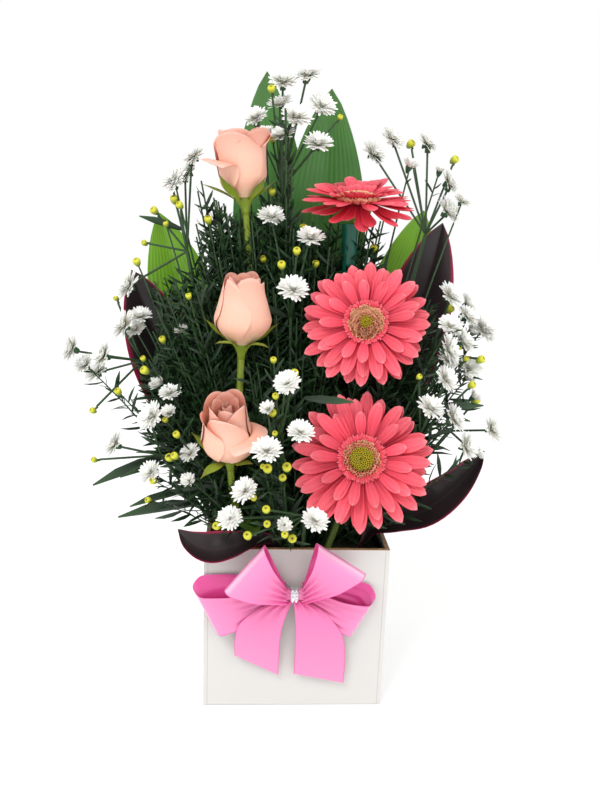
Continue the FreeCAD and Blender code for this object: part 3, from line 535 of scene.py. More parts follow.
gerbera_heads = []
for name, middle, way, reach, lifts, screen in GERBERAS:
    head = Head(middle, way)
    gerbera_heads.append((head, reach))
    # Each layer: how many rays, their share of the reach, their height along the axis, and their width.
    layers = ((22, 1.0, 0.9, 10.4), (19, 0.93, 2.4, 10.0),
              (13 + screen // 4, 0.72 - 0.004 * screen, 3.6, 8.4), (64, 0.37, 4.2, 1.6))
    rays = []
    for (count, share, layer, widest), lift in zip(layers, lifts):
        for n in range(count):
            out = head.radial(2 * math.pi * (n + 0.4 * layer + chance.uniform(-0.2, 0.2)) / count)
            length = (reach * share - HUB) * chance.uniform(0.84, 1.03)
            toward = max(0.0, -out.y)
            standing = screen * (toward * (layer > 3) - 0.55 * toward * (layer < 2) + 0.55 * max(0.0, out.y))
            rise = math.radians(lift + standing + chance.uniform(-8, 8))
            droop = chance.uniform(0.1, 0.6)
            twist = chance.uniform(-0.25, 0.25)
            rows = gerbera_ray(head, out, layer, length, rise, droop, twist, widest)
            rays.append((rows, chance.uniform(0.15, 0.9)))
    surface_piece(name + "_bloom", gerbera_skin, rays, "arrangement", [name + "_rays"])
    surface_piece(name + "_cup", gerbera_green, [(head.turned(CUP_PROFILE), EVEN)],
                  "arrangement", [name + "_bracts"])
    paint(name + "_stem", gerbera_green)

# Extruded plastic straw: smooth and even, so it shows a clear gloss.
straw = new_material("green_straw", Base_Color="#0B5F4B", Roughness=0.22)[0]
STRAW_RIM_POINTS, STRAW_LONGER = 12, 12
STRAW_RADIUS, STRAW_FLARE = 5.2, 1.2
straw_points = sorted((vertex.co * PER_METRE for vertex in nodes["gerbera_top_sleeve"].data.vertices),
                      key=lambda point: point.z)
straw_low = sum(straw_points[:STRAW_RIM_POINTS], Vector()) / STRAW_RIM_POINTS
straw_high = sum(straw_points[-STRAW_RIM_POINTS:], Vector()) / STRAW_RIM_POINTS
straw_way = (straw_high - straw_low).normalized()
straw_length = (straw_high - straw_low).length + STRAW_LONGER
straw_rows = []
for share in (0.0, 0.25, 0.5, 0.75, 1.0):
    straw_middle = straw_low + straw_way * share * straw_length
    straw_rows.append([straw_middle + square_to(straw_way, Vector((math.cos(angle), math.sin(angle), 0)))
                       * (STRAW_RADIUS + STRAW_FLARE * share) for angle in ring(32)])
surface_piece("gerbera_top_straw", straw, [(straw_rows, EVEN)],
              "arrangement", ["gerbera_top_sleeve"])


# Gerbera discs: a tight yellow-green heart ringed by open peach florets, which grow packed in a spiral.
# Each floret is one small tube, stood on its point by a node group.
def scatter_group():
    """A node group that stands one object on every point by its stored turn and size, with seeded jitter."""
    group = bpy.data.node_groups.new("stand_on_points", "GeometryNodeTree")
    for label, kind in (("Geometry", "Geometry"), ("Piece", "Object"), ("Finish", "Material"),
                        ("Jitter", "Float"), ("Seed", "Int")):
        group.interface.new_socket(label, in_out="INPUT", socket_type="NodeSocket" + kind)
    group.interface.new_socket("Geometry", in_out="OUTPUT", socket_type="NodeSocketGeometry")
    source = add(group, "NodeGroupInput").outputs
    shape = add(group, "GeometryNodeObjectInfo", Object=source["Piece"]).outputs["Geometry"]
    turn = add(group, "GeometryNodeInputNamedAttribute", {"data_type": "FLOAT_VECTOR"}, Name="turn")
    rotation = add(group, "FunctionNodeEulerToRotation", Euler=turn.outputs[0]).outputs[0]
    size = add(group, "GeometryNodeInputNamedAttribute", {"data_type": "FLOAT"}, Name="size").outputs[0]
    low = add(group, "ShaderNodeMath", {"operation": "SUBTRACT"}, _0=1.0, _1=source["Jitter"]).outputs[0]
    high = add(group, "ShaderNodeMath", {"operation": "ADD"}, _0=1.0, _1=source["Jitter"]).outputs[0]
    draw = add(group, "FunctionNodeRandomValue", {"data_type": "FLOAT"},
               Seed=source["Seed"], _2=low, _3=high)
    scale = add(group, "ShaderNodeMath", {"operation": "MULTIPLY"}, _0=size, _1=draw.outputs[1]).outputs[0]
    stood = add(group, "GeometryNodeInstanceOnPoints", Points=source["Geometry"], Instance=shape,
                Rotation=rotation, Scale=scale).outputs[0]
    real = add(group, "GeometryNodeRealizeInstances", Geometry=stood).outputs[0]
    done = add(group, "GeometryNodeSetMaterial", Geometry=real, Material=source["Finish"]).outputs[0]
    add(group, "NodeGroupOutput", _0=done)
    return group


stand_on_points = scatter_group()


def scatter(name, pattern, made, places, body, replaced=(), jitter=0.08, seed=3):
    """Stands copies of pattern at places of (point, up, spin, size) and keeps them as one plain mesh."""
    mesh = bpy.data.meshes.new(name)
    mesh.from_pydata([point * MM for point, _, _, _ in places], [], [])
    turns, sizes = [], []
    for _, up, spin, size in places:
        turns += list((up.to_track_quat("Z", "Y").to_matrix() @ Matrix.Rotation(spin, 3, "Z")).to_euler())
        sizes.append(size)
    mesh.attributes.new("turn", "FLOAT_VECTOR", "POINT").data.foreach_set("vector", turns)
    mesh.attributes.new("size", "FLOAT", "POINT").data.foreach_set("value", sizes)
    piece = bpy.data.objects.new(name, mesh)
    bpy.context.scene.collection.objects.link(piece)
    modifier = piece.modifiers.new("stand", "NODES")
    modifier.node_group = stand_on_points
    values = {"Piece": pattern, "Finish": made, "Jitter": jitter, "Seed": seed}
    for item in stand_on_points.interface.items_tree:
        if item.in_out == "INPUT" and item.name in values:
            modifier[item.identifier] = values[item.name]
    evaluated = piece.evaluated_get(bpy.context.evaluated_depsgraph_get())
    finished = bpy.data.meshes.new_from_object(evaluated)
    piece.modifiers.clear()
    piece.data = finished
    piece.data.shade_smooth()
    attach(piece, body)
    if replaced:
        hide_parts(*replaced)


def tube_rows(profile, sides):
    """Rows of a small round form through (radius, height) steps."""
    return [[(radius * math.cos(angle), radius * math.sin(angle), height) for angle in ring(sides)]
            for radius, height in profile]


FLORET = ((0.5, 0), (0.7, 1.6), (1.1, 3.2))
floret = surface_piece("floret_pattern", gerbera_skin, [(tube_rows(FLORET, 6), EVEN)])
# Floret skins: soft and matt; the heart is lime yellow, and the open florets pale to cream at their lips.
heart_skin = living("gerbera_heart_floret", [(0.0, "#B4AC20"), (0.5, "#DACA32"), (1.0, "#F2E668")],
                    roughness=0.6)
peach_skin = living("gerbera_open_floret", [(0.0, "#C8303C"), (0.5, "#F58A78"), (1.0, "#FFDDB8")],
                    roughness=0.6)
DISC, DISC_HEIGHT, DISC_DOME = 14.2, 3.8, 2.4
FLORETS = 260
GOLDEN_TURN = 2.39996
HEART_SIZE, OPEN_SIZE = 0.9, 1.25
# The middle gerbera's disc and heart are smaller than the others': (share of the disc, edge of the heart).
SMALLER, FULL = (0.8, 4.6), (1.0, 8.2)
HEART_LEAN, OPEN_LEAN = 0.1, 0.7
for (head, _), (name, *_) in zip(gerbera_heads, GERBERAS):
    disc_share, heart_edge = SMALLER if name == "gerbera_middle" else FULL
    shut_florets, open_florets = [], []
    for n in range(FLORETS):
        radius = DISC * disc_share * math.sqrt((n + 0.5) / FLORETS)
        angle = n * GOLDEN_TURN
        out = head.radial(angle)
        place = head.polar(radius, angle, DISC_HEIGHT - DISC_DOME * (radius / DISC) ** 2)
        if radius < heart_edge:
            up = (head.axis + out * HEART_LEAN).normalized()
            shut_florets.append((place, up, angle, HEART_SIZE))
        else:
            up = (head.axis + out * OPEN_LEAN * radius / DISC).normalized()
            open_florets.append((place, up, angle, OPEN_SIZE))
    scatter(name + "_heart", floret, heart_skin, shut_florets, "arrangement",
            [name + "_disc"])
    scatter(name + "_florets", floret, peach_skin, open_florets, "arrangement", jitter=0.25)
bpy.data.objects.remove(floret)

# Broad leaves: four waxy green leaves with a folded midrib and fine parallel veins.
# They are pushed into the foam by their stalks, two tall ones along the back and a lime one at each side.
# Leaf skin: waxy, with a dull gloss; its veins are about 5 mm apart, coarser than real so that they show.
LEAF_VEINS = 46.0
broad_skin = living("broad_leaf_skin", [(0.0, "#2E5A1C"), (0.5, "#34702A"),
                                        (0.85, "#447F30"), (1.0, "#3F6E2C")],
                    roughness=0.36, veins=LEAF_VEINS, vein_depth=0.25, glow=0.05)
lime_skin = living("lime_leaf_skin", [(0.0, "#3E7A18"), (0.5, "#5F9E1C"),
                                      (0.9, "#78B024"), (1.0, "#6A9A22")],
                   roughness=0.4, veins=LEAF_VEINS, vein_depth=0.2, glow=0.1)
# Each leaf: CAD node, foam entry, way, face, length, width, bend in degrees, and skin.
BROAD_LEAVES = [("broad_leaf_centre", (10, 44), (0.04, 0.04, 1), (0, -1, 0), 348, 74, -4, broad_skin),
                ("broad_leaf_tall", (-14, 52), (-0.03, 0.05, 1), (0.25, -1, 0), 362, 66, -5, broad_skin),
                ("broad_leaf_left", (-43, 36), (-0.28, 0.06, 1), (0.2, -1, 0), 255, 60, -6, lime_skin),
                ("broad_leaf_right", (42, 42), (0.24, 0.06, 1), (-0.2, -1, 0), 262, 58, -6, lime_skin)]
FOAM_TOP = 120.0
STALK = 9.0
TIP_FULLER = 1.5
BROAD_FOLD, BROAD_WAVE = 0.07, 0.02
for name, entry, way, face, length, width, bend, made in BROAD_LEAVES:
    start = Vector((*entry, FOAM_TOP)) + Vector(way).normalized()
    rows = leaf_rows(start, Vector(way), Vector(face), length + STALK, width, bend, BROAD_FOLD, BROAD_WAVE,
                     shoulder=TIP_FULLER)
    surface_piece(name + "_blade", made, [(rows, chance.uniform(0.35, 0.65))],
                  "arrangement", [name])

# Dark leaves: charcoal leaves with a crimson margin, pushed into the foam by their stalks.
# Two stand at the sides, and two come out low and lie over the rim of the box.
# Dark leaf skin: smooth and waxed, so it shows soft lights; the margin is a few millimetres wide.
dark_skin, dark_tree, dark_surface = new_material("dark_leaf_skin", Roughness=0.32)
dark_across = add(dark_tree, "ShaderNodeAttribute", {"attribute_name": "across"}).outputs["Fac"]
off_midrib = add(dark_tree, "ShaderNodeMath", {"operation": "ABSOLUTE"}, _0=dark_across).outputs[0]
dark_colour = add(dark_tree, "ShaderNodeValToRGB", Fac=off_midrib, stops=[
    (0.0, "#35272A"), (0.1, "#251D20"), (0.84, "#2A1D21"), (0.93, "#86123A"), (1.0, "#B01048")])
feed(dark_tree, dark_surface, Base_Color=dark_colour.outputs["Color"])
DARK_FOLD, DARK_WAVE = 0.12, 0.03
for name, entry, way, face, length, width, bend in (
        ("dark_leaf_right", (54, 22), (0.25, 0.05, 1), (-0.35, -1, 0.1), 250, 60, 4),
        ("dark_leaf_left", (-50, 18), (-0.42, 0.05, 1), (0.4, -1, 0.1), 215, 58, 5)):
    start = Vector((*entry, FOAM_TOP)) + Vector(way).normalized()
    rows = leaf_rows(start, Vector(way), Vector(face), length + STALK, width, bend, DARK_FOLD, DARK_WAVE,
                     shoulder=TIP_FULLER)
    surface_piece(name + "_blade", dark_skin, [(rows, EVEN)], "arrangement", [name])
# Each rim leaf: CAD node, foam entry, face, and the midrib's points with the blade's width at each.
RIM_LEAVES = [
    ("dark_leaf_front", (-12, -57, 120), (0, -0.6, 0.8),
     ((-14, -60, 128, 4), (-21, -65, 138, 9), (-36, -71, 140, 15), (-52, -76, 138, 24), (-66, -78, 137, 26),
      (-79, -76, 141, 17), (-89, -72, 148, 1))),
    ("dark_leaf_right_low", (50, -45, 120), (-0.5, -0.55, 0.67),
     ((52, -45, 127, 4), (60, -46, 140, 13), (76, -48, 148, 24), (98, -46, 157, 36), (120, -40, 171, 32),
      (140, -30, 187, 16), (149, -26, 198, 1))),
]
RIM_STEPS, RIM_HOLLOW = 40, 0.14
for name, foot, face, midrib in RIM_LEAVES:
    path = smooth_path([Vector((*foot, STALK_WIDTH))] + [Vector(place) for place in midrib], RIM_STEPS)
    rows = []
    for n, place in enumerate(path):
        ahead = (path[min(n + 1, RIM_STEPS - 1)] - path[max(n - 1, 0)]).to_3d().normalized()
        normal = square_to(ahead, Vector(face))
        side = ahead.cross(normal)
        broad = place[3]
        rows.append([place.to_3d() + side * (u * broad / 2) - normal * (RIM_HOLLOW * broad * (1 - u * u))
                     for u in (2 * c / BLADE_COLUMNS - 1 for c in range(BLADE_COLUMNS + 1))])
    surface_piece(name + "_blade", dark_skin, [(rows, EVEN)], "arrangement", [name])


# Asters: sprays of small white heads and yellow buds on thin green stems pushed into the foam.
# Each head is a tuft of fine rays over a green cup, and every side stem is thick with narrow dark leaves.
def islands(node_name):
    """The middle of each separate solid of a CAD node."""
    mesh = nodes[node_name].data
    parent = list(range(len(mesh.vertices)))

    def root(i):
        while parent[i] != i:
            parent[i] = parent[parent[i]]
            i = parent[i]
        return i

    seen = {}
    for vertex in mesh.vertices:
        key = tuple(round(x, 6) for x in vertex.co)
        parent[root(vertex.index)] = root(seen.setdefault(key, vertex.index))
    for edge in mesh.edges:
        parent[root(edge.vertices[0])] = root(edge.vertices[1])
    groups = {}
    for vertex in mesh.vertices:
        groups.setdefault(root(vertex.index), []).append(vertex.co * PER_METRE)
    return [sum(points, Vector()) / len(points) for points in groups.values()]


UP = Vector((0, 0, 1))
CAMERA_PLACE = Vector((-38.6, -625.8, 383.3))
# Where a broad or dark leaf shows in the photograph: its depth, and its left, right, lower and upper bounds.
LEAF_VIEWS = [(64, -2, 50, 392, 480), (70, -52, -28, 412, 485), (48, -126, -86, 330, 385),
              (52, 76, 116, 322, 390), (34, 90, 132, 316, 378), (28, -150, -120, 258, 325)]
# How far foliage keeps off a gerbera's rays and a rose, and the depth from which it is in front of a gerbera.
RAY_DEPTH, RAY_MARGIN, ROSE_MARGIN, FRONT_FROM = 9, 2, 3, 8
# How much of a gerbera's reach shows: its height when it lies flat or faces the camera, and its width.
FLAT_AXIS, SEEN_FLAT, SEEN_FACING, SEEN_WIDE = 0.7, 0.5, 0.92, 0.93


def hides_a_flower(point):
    """Whether a point lies in or in front of a rose or gerbera head, seen from the camera."""
    for head, reach in gerbera_heads:
        offset = point - head.foot
        height = offset.dot(head.axis)
        if abs(height) < RAY_DEPTH and (offset - head.axis * height).length < reach + RAY_MARGIN:
            return True
        ray = (head.foot - CAMERA_PLACE).normalized()
        gap = offset - ray * offset.dot(ray)
        tall = SEEN_FLAT if head.axis.z > FLAT_AXIS else SEEN_FACING
        inside = (gap.x / (SEEN_WIDE * reach)) ** 2 + (gap.z / (tall * reach)) ** 2 < 1
        if offset.dot(ray) < FRONT_FROM and inside:
            return True
    for middle, reach in rose_heads:
        offset = point - middle
        ray = (middle - CAMERA_PLACE).normalized()
        gap = offset - ray * offset.dot(ray)
        if offset.length < reach + ROSE_MARGIN or (offset.dot(ray) < 0 and gap.length < reach - 1):
            return True
    return False


def hides_a_leaf(point):
    """Whether a point lies in front of a part of a leaf that the photograph shows."""
    for depth, left, right, low, high in LEAF_VIEWS:
        if point.y < depth:
            share = (depth - CAMERA_PLACE.y) / (point.y - CAMERA_PLACE.y)
            seen = CAMERA_PLACE + (point - CAMERA_PLACE) * share
            if left < seen.x < right and low < seen.z < high:
                return True
    return False


# The front of the upright leaves at the foam, in the middle and at the sides, and how they lean back.
MIDDLE_FRONT, SIDE_FRONT, MIDDLE_HALF_WIDTH, LEAN_BACK = 30, 6, 50, 0.05


def clear_of_leaves(point):
    """Whether a point stands in front of the upright leaves along the back and the sides."""
    front = MIDDLE_FRONT if abs(point.x) < MIDDLE_HALF_WIDTH else SIDE_FRONT
    return point.y < front + LEAN_BACK * (point.z - FOAM_TOP)


def in_the_open(point):
    """Whether foliage may stand at a point."""
    return clear_of_leaves(point) and not hides_a_flower(point) and not hides_a_leaf(point)


# Stems come out of the foam within these bounds, and closer together than their tips.
FOOT_SIDE, FOOT_FRONT, FOOT_BACK = 58, -56, 50
CLOSER_ACROSS, CLOSER_IN_DEPTH = 0.42, 0.55
ARCH_AT, ARCH_RISE = 0.45, 0.12


def shoot_foot(tip):
    """Where the stem to a tip comes out of the foam."""
    x = max(-FOOT_SIDE, min(FOOT_SIDE, tip.x * CLOSER_ACROSS))
    y = max(FOOT_FRONT, min(FOOT_BACK, tip.y * CLOSER_IN_DEPTH))
    return Vector((x, y, FOAM_TOP))


def shoot_point(foot, tip, t):
    """A stem that leaves the foam steeply and arches out to its tip."""
    bend = foot.lerp(tip, ARCH_AT) + UP * (ARCH_RISE * (tip - foot).length)
    return foot * (1 - t) ** 2 + bend * (2 * t * (1 - t)) + tip * t * t


LEFT_GROUP_TO, RIGHT_GROUP_FROM = -50, 40


def side_of(x):
    """Which of the three CAD groups a place belongs to."""
    return "left" if x < LEFT_GROUP_TO else "right" if x > RIGHT_GROUP_FROM else "middle"


# The photograph's outline of the foliage: height, and how far it reaches to the left and to the right.
FOLIAGE_OUTLINE = [(118, 56, 60), (140, 76, 80), (170, 92, 90), (205, 106, 108), (237, 122, 114),
                   (255, 130, 118), (300, 120, 116), (350, 100, 106), (400, 86, 98), (440, 48, 78),
                   (468, 22, 18)]


def half_widths(height):
    """How far the foliage reaches to the left and to the right at a height within the outline."""
    for below, above in zip(FOLIAGE_OUTLINE, FOLIAGE_OUTLINE[1:]):
        if height <= above[0]:
            t = max(0.0, (height - below[0]) / (above[0] - below[0]))
            return [low + (high - low) * t for low, high in zip(below[1:], above[1:])]


# Stem and cup skins: dark greens with next to no gloss. Ray: papery and matt white, creamy at its foot.
aster_green = plain("aster_stem_skin", "#2F5128", "#203A1C", 0.6)
cup_green = plain("aster_cup_skin", "#2E5A38", "#21442A", 0.6)
aster_white = living("aster_ray", [(0.0, "#EAE7C8"), (0.35, "#F4F4EE"), (1.0, "#FAFAF8")],
                     roughness=0.6, glow=0.1)
# Bud: dull yellow over a green foot. Narrow leaf: dark and a little waxy, paler at its tip.
aster_yellow = living("aster_bud_skin", [(0.0, "#4E6A24"), (0.35, "#98A42A"), (0.6, "#D2D43A"),
                                         (0.85, "#D4CE30"), (1.0, "#7C7A20")], roughness=0.6)
needle_skin = living("aster_leaf_skin", [(0.0, "#0E1F0D"), (0.5, "#173317"), (1.0, "#2C5026")],
                     roughness=0.5, glow=0.02)
# Heads and buds besides the CAD's, placed after the photograph.
EXTRA_BLOOMS = [
    (-20, 20, 460), (-30, 18, 438), (4, 16, 434), (-18, 4, 436), (-98, 0, 398), (-60, 10, 392),
    (-36, -22, 350), (20, -20, 330), (-122, -22, 300), (-126, -24, 290), (-164, -26, 262), (-108, -36, 250),
    (-98, -44, 246), (-98, -50, 232), (-72, -62, 270), (-66, -62, 272), (-26, -88, 246), (-82, -66, 206),
    (-82, -70, 186), (-112, -58, 188), (0, -74, 256), (-2, -74, 240), (96, -70, 226), (100, -70, 214),
    (126, -44, 262), (130, -54, 250), (114, -60, 236), (136, -56, 206), (6, -60, 286), (4, -50, 300),
    (84, 20, 418), (106, 14, 414), (120, -10, 392), (-90, -30, 290), (-12, -100, 164), (99, -56, 318),
    (107, -54, 303), (123, -44, 309), (127, -42, 297), (137, -38, 300), (109, -50, 277), (127, -44, 270),
    (98, -60, 262), (100, -62, 241)]
EXTRA_BUDS = [
    (0, -4, 366), (6, -6, 358), (-24, 6, 392), (-98, 2, 384), (-72, -8, 370), (-104, -4, 366),
    (-124, -18, 338), (-104, -30, 282), (-118, -34, 268), (-136, -40, 244), (-116, -46, 230),
    (-100, -52, 226), (-84, -40, 316), (-80, -40, 328), (-96, -62, 200), (-108, -62, 182),
    (-112, -60, 166), (-60, -84, 156),
    (-28, -92, 204), (-34, -90, 180), (-22, -70, 276), (-4, -66, 262), (-22, -80, 240), (-20, -84, 226),
    (-8, -86, 220), (-6, -84, 236), (-26, -88, 216), (-14, -92, 196), (-4, -90, 200), (-24, -94, 162),
    (-6, -96, 152), (56, 6, 352), (116, -46, 284), (122, -48, 276), (-90, -70, 220), (10, -10, 340),
    (2, -20, 318)]
STEM_CHECKS = (0.5, 0.7, 0.85, 0.95, 1.0)
NEAREST = 5
head_places = {group: [] for group in ("left", "middle", "right")}
bud_places = {group: [] for group in head_places}
shoots, necks = [], []
for kind, places, extras in (("blooms", head_places, EXTRA_BLOOMS), ("buds", bud_places, EXTRA_BUDS)):
    for group in places:
        stem_points = [vertex.co * PER_METRE for vertex in nodes["aster_stems_" + group].data.vertices]
        for middle in islands(f"aster_{kind}_{group}"):
            nearest = sorted(stem_points, key=lambda point: (point - middle).length)[:NEAREST]
            necks.append((sum(nearest, Vector()) / NEAREST, middle))
            outward = Vector((middle.x * 0.006, -0.55, 0.65)).normalized()
            places[group].append((middle, outward, False))
    for place in extras:
        tip = Vector(place)
        foot = shoot_foot(tip)
        stem = [shoot_point(foot, tip, t) for t in STEM_CHECKS]
        if not any(hides_a_flower(point) for point in stem):
            outward = ((stem[-1] - stem[-2]).normalized() + Vector((0, -0.5, 0.2))).normalized()
            places[side_of(tip.x)].append((tip, outward, True))
            shoots.append((foot, tip))
# Leafy side stems: most fill the outline from front to back, every fifth stands behind the upper flowers,
# and some of the rest thicken the left side. Their checks start where they leave the crowd at the foam.
SHOOTS = 860
TIP_LOWEST, TIP_RISE = 140, 318
TIP_FRONT, TIP_SLOPE, TIP_DEPTH = -76, 0.27, 60
CHECK_FROM, CHECK_STEP, CHECKS = 0.3, 0.05, 15
for n in range(SHOOTS):
    height = TIP_LOWEST + TIP_RISE * chance.random() ** 0.95
    left, right = half_widths(height)
    front = TIP_FRONT + TIP_SLOPE * (height - TIP_LOWEST)
    tip = Vector((chance.uniform(-left, right), front + chance.uniform(0, TIP_DEPTH), height))
    tip.y = min(tip.y, chance.uniform(-6, 14))
    if n % 5 == 0:
        tip = Vector((chance.uniform(-60, 66), chance.uniform(0, 22), chance.uniform(320, 398)))
    elif n % 7 == 3:
        tip = Vector((chance.uniform(-120, -72), chance.uniform(-40, 0), chance.uniform(200, 335)))
    foot = shoot_foot(tip)
    if all(in_the_open(shoot_point(foot, tip, CHECK_FROM + CHECK_STEP * k)) for k in range(CHECKS)):
        shoots.append((foot, tip))

# Necks run on from the CAD's stem ends to just short of their heads, and side stems stop short of theirs.
NECK_RADIUS, NECK_SHORT = 0.9, 2.5
STEM_RADIUS, STEM_TAPER, STEM_ROWS, STEM_SHARE = 1.2, 0.07, 8, 0.985
STEM_SIDES = 6
stem_grids = []
for stem_end, middle in necks:
    way = (middle - stem_end).normalized()
    run = middle - way * NECK_SHORT - stem_end
    first_side = square_to(way, Vector((0.3, 0.9, 0.2)))
    second_side = way.cross(first_side)
    rows = [[stem_end + run * share
             + (first_side * math.cos(angle) + second_side * math.sin(angle)) * NECK_RADIUS
             for angle in ring(STEM_SIDES)] for share in (-0.2, 0.4, 1.0)]
    stem_grids.append((rows, EVEN))
# Narrow leaves grow one to each 3.5 mm of stem, turned by the golden angle, and are left out over the rim.
NEEDLE, NEEDLE_WIDTH, NEEDLE_EVERY = 24.0, 4.2, 3.5
LEAFY_FROM, LEAFY_SPAN, LEAFY_SHARE = 0.24, 0.70, 0.68
RIM_CLEAR, RIM_SIDE, RIM_FRONT = 140, 60, -56
FULL_TURN = 6.28
leaf_places = {group: [] for group in head_places}
for foot, tip in shoots:
    rows = []
    for r in range(STEM_ROWS + 1):
        point = shoot_point(foot, tip, r / STEM_ROWS * STEM_SHARE)
        thick = STEM_RADIUS - STEM_TAPER * r
        rows.append([point + Vector((thick * math.cos(angle), thick * math.sin(angle), 0))
                     for angle in ring(STEM_SIDES)])
    stem_grids.append((rows, EVEN))
    count = int((tip - foot).length * LEAFY_SHARE / NEEDLE_EVERY)
    for n in range(count):
        t = LEAFY_FROM + LEAFY_SPAN * n / max(1, count - 1)
        point = shoot_point(foot, tip, t)
        ahead = (shoot_point(foot, tip, t + 0.02) - point).normalized()
        spin = n * GOLDEN_TURN
        across_way = square_to(ahead, Vector((1, 0.3, 0.1)))
        out = across_way * math.cos(spin) + ahead.cross(across_way) * math.sin(spin)
        way = (ahead * chance.uniform(0.5, 1.1) + out).normalized()
        size = chance.uniform(0.6, 1.2) * (1.12 - 0.6 * t)
        ends = (point, point + way * 12 * size, point + way * 23 * size)
        low = min(end.z for end in ends) < RIM_CLEAR and (abs(ends[2].x) > RIM_SIDE or ends[2].y < RIM_FRONT)
        if not low and all(in_the_open(end) for end in ends):
            leaf_places[side_of(point.x)].append((point, way, chance.uniform(0, FULL_TURN), size))
# Long leaves that stand out from the foliage, each from its foot on a stem to its tip.
LONG_LEAVES = [((-102, -43, 194), (-153, -48, 178)), ((-100, -43, 190), (-136, -60, 186)),
               ((-84, -39, 166), (-126, -52, 162)), ((-76, -36, 154), (-130, -44, 152)),
               ((-92, -2, 362), (-122, -8, 372)), ((98, -60, 242), (131, -62, 244)),
               ((97, -58, 238), (128, -66, 232)), ((2, -62, 247), (33, -66, 246)),
               ((-12, -20, 300), (-34, -34, 312))]
LONG_SPIN = 1.3
for foot, tip in LONG_LEAVES:
    foot = Vector(foot)
    run = Vector(tip) - foot
    leaf_places[side_of(foot.x)].append((foot, run.normalized(), LONG_SPIN, run.length / NEEDLE))
surface_piece("aster_side_stems", aster_green, stem_grids, "arrangement")

NEEDLE_DROOP = 3.5
needle_rows = []
for t in (0, 1 / 3, 2 / 3, 1):
    broad = NEEDLE_WIDTH * math.sin(math.pi * min(0.97, 0.12 + 0.86 * t)) ** 0.8
    needle_rows.append([(u * broad / 2, 0.5 * abs(u) * broad / 2 - NEEDLE_DROOP * t * t, NEEDLE * t)
                        for u in (-1, 0, 1)])
needle = surface_piece("needle_pattern", needle_skin, [(needle_rows, EVEN)])
for group, places in leaf_places.items():
    scatter("aster_foliage_" + group, needle, needle_skin, places, "arrangement",
            ["aster_leaves_" + group], jitter=0.15)
bpy.data.objects.remove(needle)

# A ray's widths, as (share of its length, width), and where the rays of a head start.
RAY_WIDTHS = ((0.0, 1.0), (0.5, 2.2), (0.85, 2.0), (1.0, 0.6))
TUFT_HUB, TUFT_FOOT = 0.6, 3.4


def tuft(name, layers):
    """A head's pattern: layers of fine pointed rays as (count, reach, lift in degrees)."""
    rays = []
    for count, reach, lift in layers:
        for n in range(count):
            angle = 2 * math.pi * (n + chance.uniform(-0.3, 0.3)) / count
            length = reach * chance.uniform(0.85, 1.08)
            rise = math.radians(lift + chance.uniform(-9, 9))
            rows = []
            for t, broad in RAY_WIDTHS:
                out = TUFT_HUB + length * t * math.cos(rise * (1 - 0.3 * t))
                height = length * t * math.sin(rise) - TUFT_FOOT
                rows.append([(out * math.cos(angle) - side * math.sin(angle),
                              out * math.sin(angle) + side * math.cos(angle), height)
                             for side in (-broad / 2, broad / 2)])
            rays.append((rows, chance.uniform(0.4, 0.8)))
    return surface_piece(name, aster_white, rays)


open_head = tuft("aster_pattern", ((24, 10.2, 8), (22, 9.6, 24), (19, 8.6, 40), (15, 7.4, 56), (9, 6.0, 76),
                                   (8, 5.6, 98)))
shut_head = tuft("tuft_pattern", ((15, 6.4, 40), (13, 6.6, 57), (9, 6.6, 74), (6, 6.2, 98)))
ASTER_CUP = ((0.6, -8.5), (1.8, -6.5), (2.7, -4), (2.9, -2))
ASTER_BUD = ((0.5, -4.6), (1.9, -3.4), (2.9, -1.4), (3.3, 0.6), (3.0, 2.2), (1.9, 2.9), (0.4, 2.5))
cup = surface_piece("cup_pattern", cup_green, [(tube_rows(ASTER_CUP, 8), EVEN)])
bud = surface_piece("bud_pattern", aster_yellow, [(tube_rows(ASTER_BUD, 10), EVEN)])
HALF_OPEN_SHARE = 0.4
for group in head_places:
    wide_open, half_open, cups = [], [], []
    for tip, outward, extra in head_places[group]:
        up = (outward + Vector((chance.uniform(-0.25, 0.25), 0, chance.uniform(-0.25, 0.25)))).normalized()
        spin = chance.uniform(0, FULL_TURN)
        place = (tip, up, spin, chance.uniform(0.8, 1.05) if extra else chance.uniform(0.95, 1.15))
        (half_open if extra and chance.random() < HALF_OPEN_SHARE else wide_open).append(place)
        cups.append(place)
    scatter("aster_heads_" + group, open_head, aster_white, wide_open, "arrangement",
            ["aster_blooms_" + group])
    scatter("aster_tufts_" + group, shut_head, aster_white, half_open, "arrangement",
            jitter=0.2)
    scatter("aster_cups_" + group, cup, cup_green, cups, "arrangement", jitter=0.0)
    buds = [(tip, outward, chance.uniform(0, FULL_TURN), chance.uniform(0.62, 0.98))
            for tip, outward, _ in bud_places[group]]
    scatter("aster_closed_" + group, bud, aster_yellow, buds, "arrangement",
            ["aster_buds_" + group])
    paint("aster_stems_" + group, aster_green)
for pattern in (open_head, shut_head, cup, bud):
    bpy.data.objects.remove(pattern)

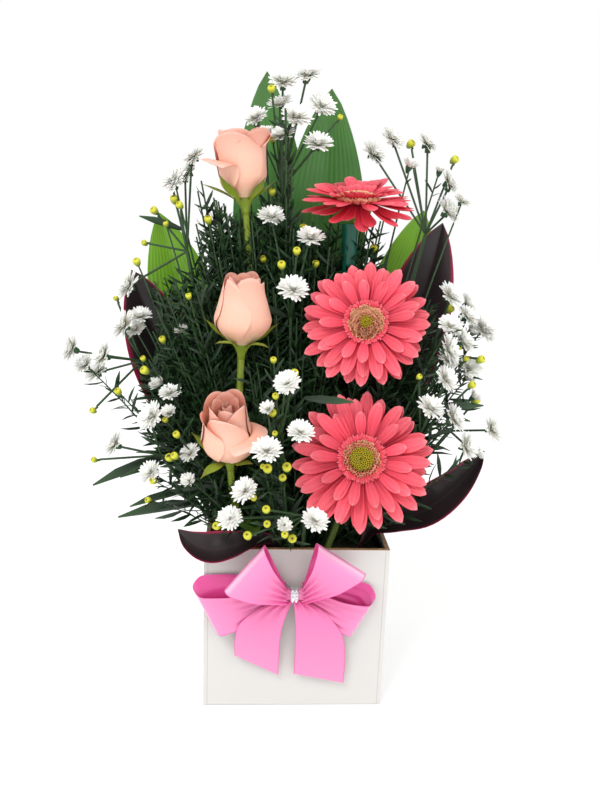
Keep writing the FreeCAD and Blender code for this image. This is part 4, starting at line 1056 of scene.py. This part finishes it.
# Floor, light and camera: a plain pale floor under white light from all round and two soft lamps,
# seen from the photograph's viewpoint. Sizes and places are in metres, and the floor's white is a linear one.
FLOOR_CORNERS = [(-4, -4), (4, -4), (4, 6), (-4, 6)]
FLOOR_BELOW = -0.0006
FLOOR_WHITE = (0.95, 0.95, 0.95, 1.0)
floor_mesh = bpy.data.meshes.new("floor")
floor_mesh.from_pydata([(x, y, FLOOR_BELOW) for x, y in FLOOR_CORNERS], [], [(0, 1, 2, 3)])
floor = bpy.data.objects.new("floor", floor_mesh)
bpy.context.scene.collection.objects.link(floor)
floor_paint = new_material("pale_floor", Roughness=0.8, Base_Color=FLOOR_WHITE,
                           Emission_Color="#FFFFFF", Emission_Strength=0.08)[0]
floor.data.materials.append(floor_paint)
world = bpy.data.worlds.new("studio")
world.use_nodes = True
feed(world.node_tree, world.node_tree.nodes["Background"], Color="#FFFFFF", Strength=1.0)
bpy.context.scene.world = world
LIT_POINT = Vector((0, 0, 0.25))
# Each lamp: name, place, power in watts, and width.
for name, place, power, width in (("key_light", (-0.8, -1.3, 1.9), 17, 0.7),
                                  ("side_light", (1.4, -1.1, 1.2), 5, 0.8)):
    lamp = bpy.data.lights.new(name, "AREA")
    lamp.energy, lamp.size = power, width
    light = bpy.data.objects.new(name, lamp)
    light.location = place
    light.rotation_euler = (LIT_POINT - Vector(place)).to_track_quat("-Z", "Y").to_euler()
    bpy.context.scene.collection.objects.link(light)
pitch, yaw, roll = math.radians(13.71), math.radians(3.74), math.radians(2.02)
forward = Vector((math.sin(yaw) * math.cos(pitch), math.cos(yaw) * math.cos(pitch), -math.sin(pitch)))
level_right = Vector((math.cos(yaw), -math.sin(yaw), 0))
level_up = level_right.cross(forward)
rightward = level_right * math.cos(roll) + level_up * math.sin(roll)
upward = level_up * math.cos(roll) - level_right * math.sin(roll)
camera_turn = Matrix((rightward, upward, -forward)).transposed().to_4x4()
lens = bpy.data.cameras.new("camera")
lens.sensor_fit, lens.sensor_height, lens.lens = "VERTICAL", 36, 36
camera = bpy.data.objects.new("camera", lens)
camera.matrix_world = Matrix.Translation(CAMERA_PLACE * MM) @ camera_turn
bpy.context.scene.collection.objects.link(camera)
bpy.context.scene.camera = camera
bpy.context.scene.view_settings.view_transform = "Standard"
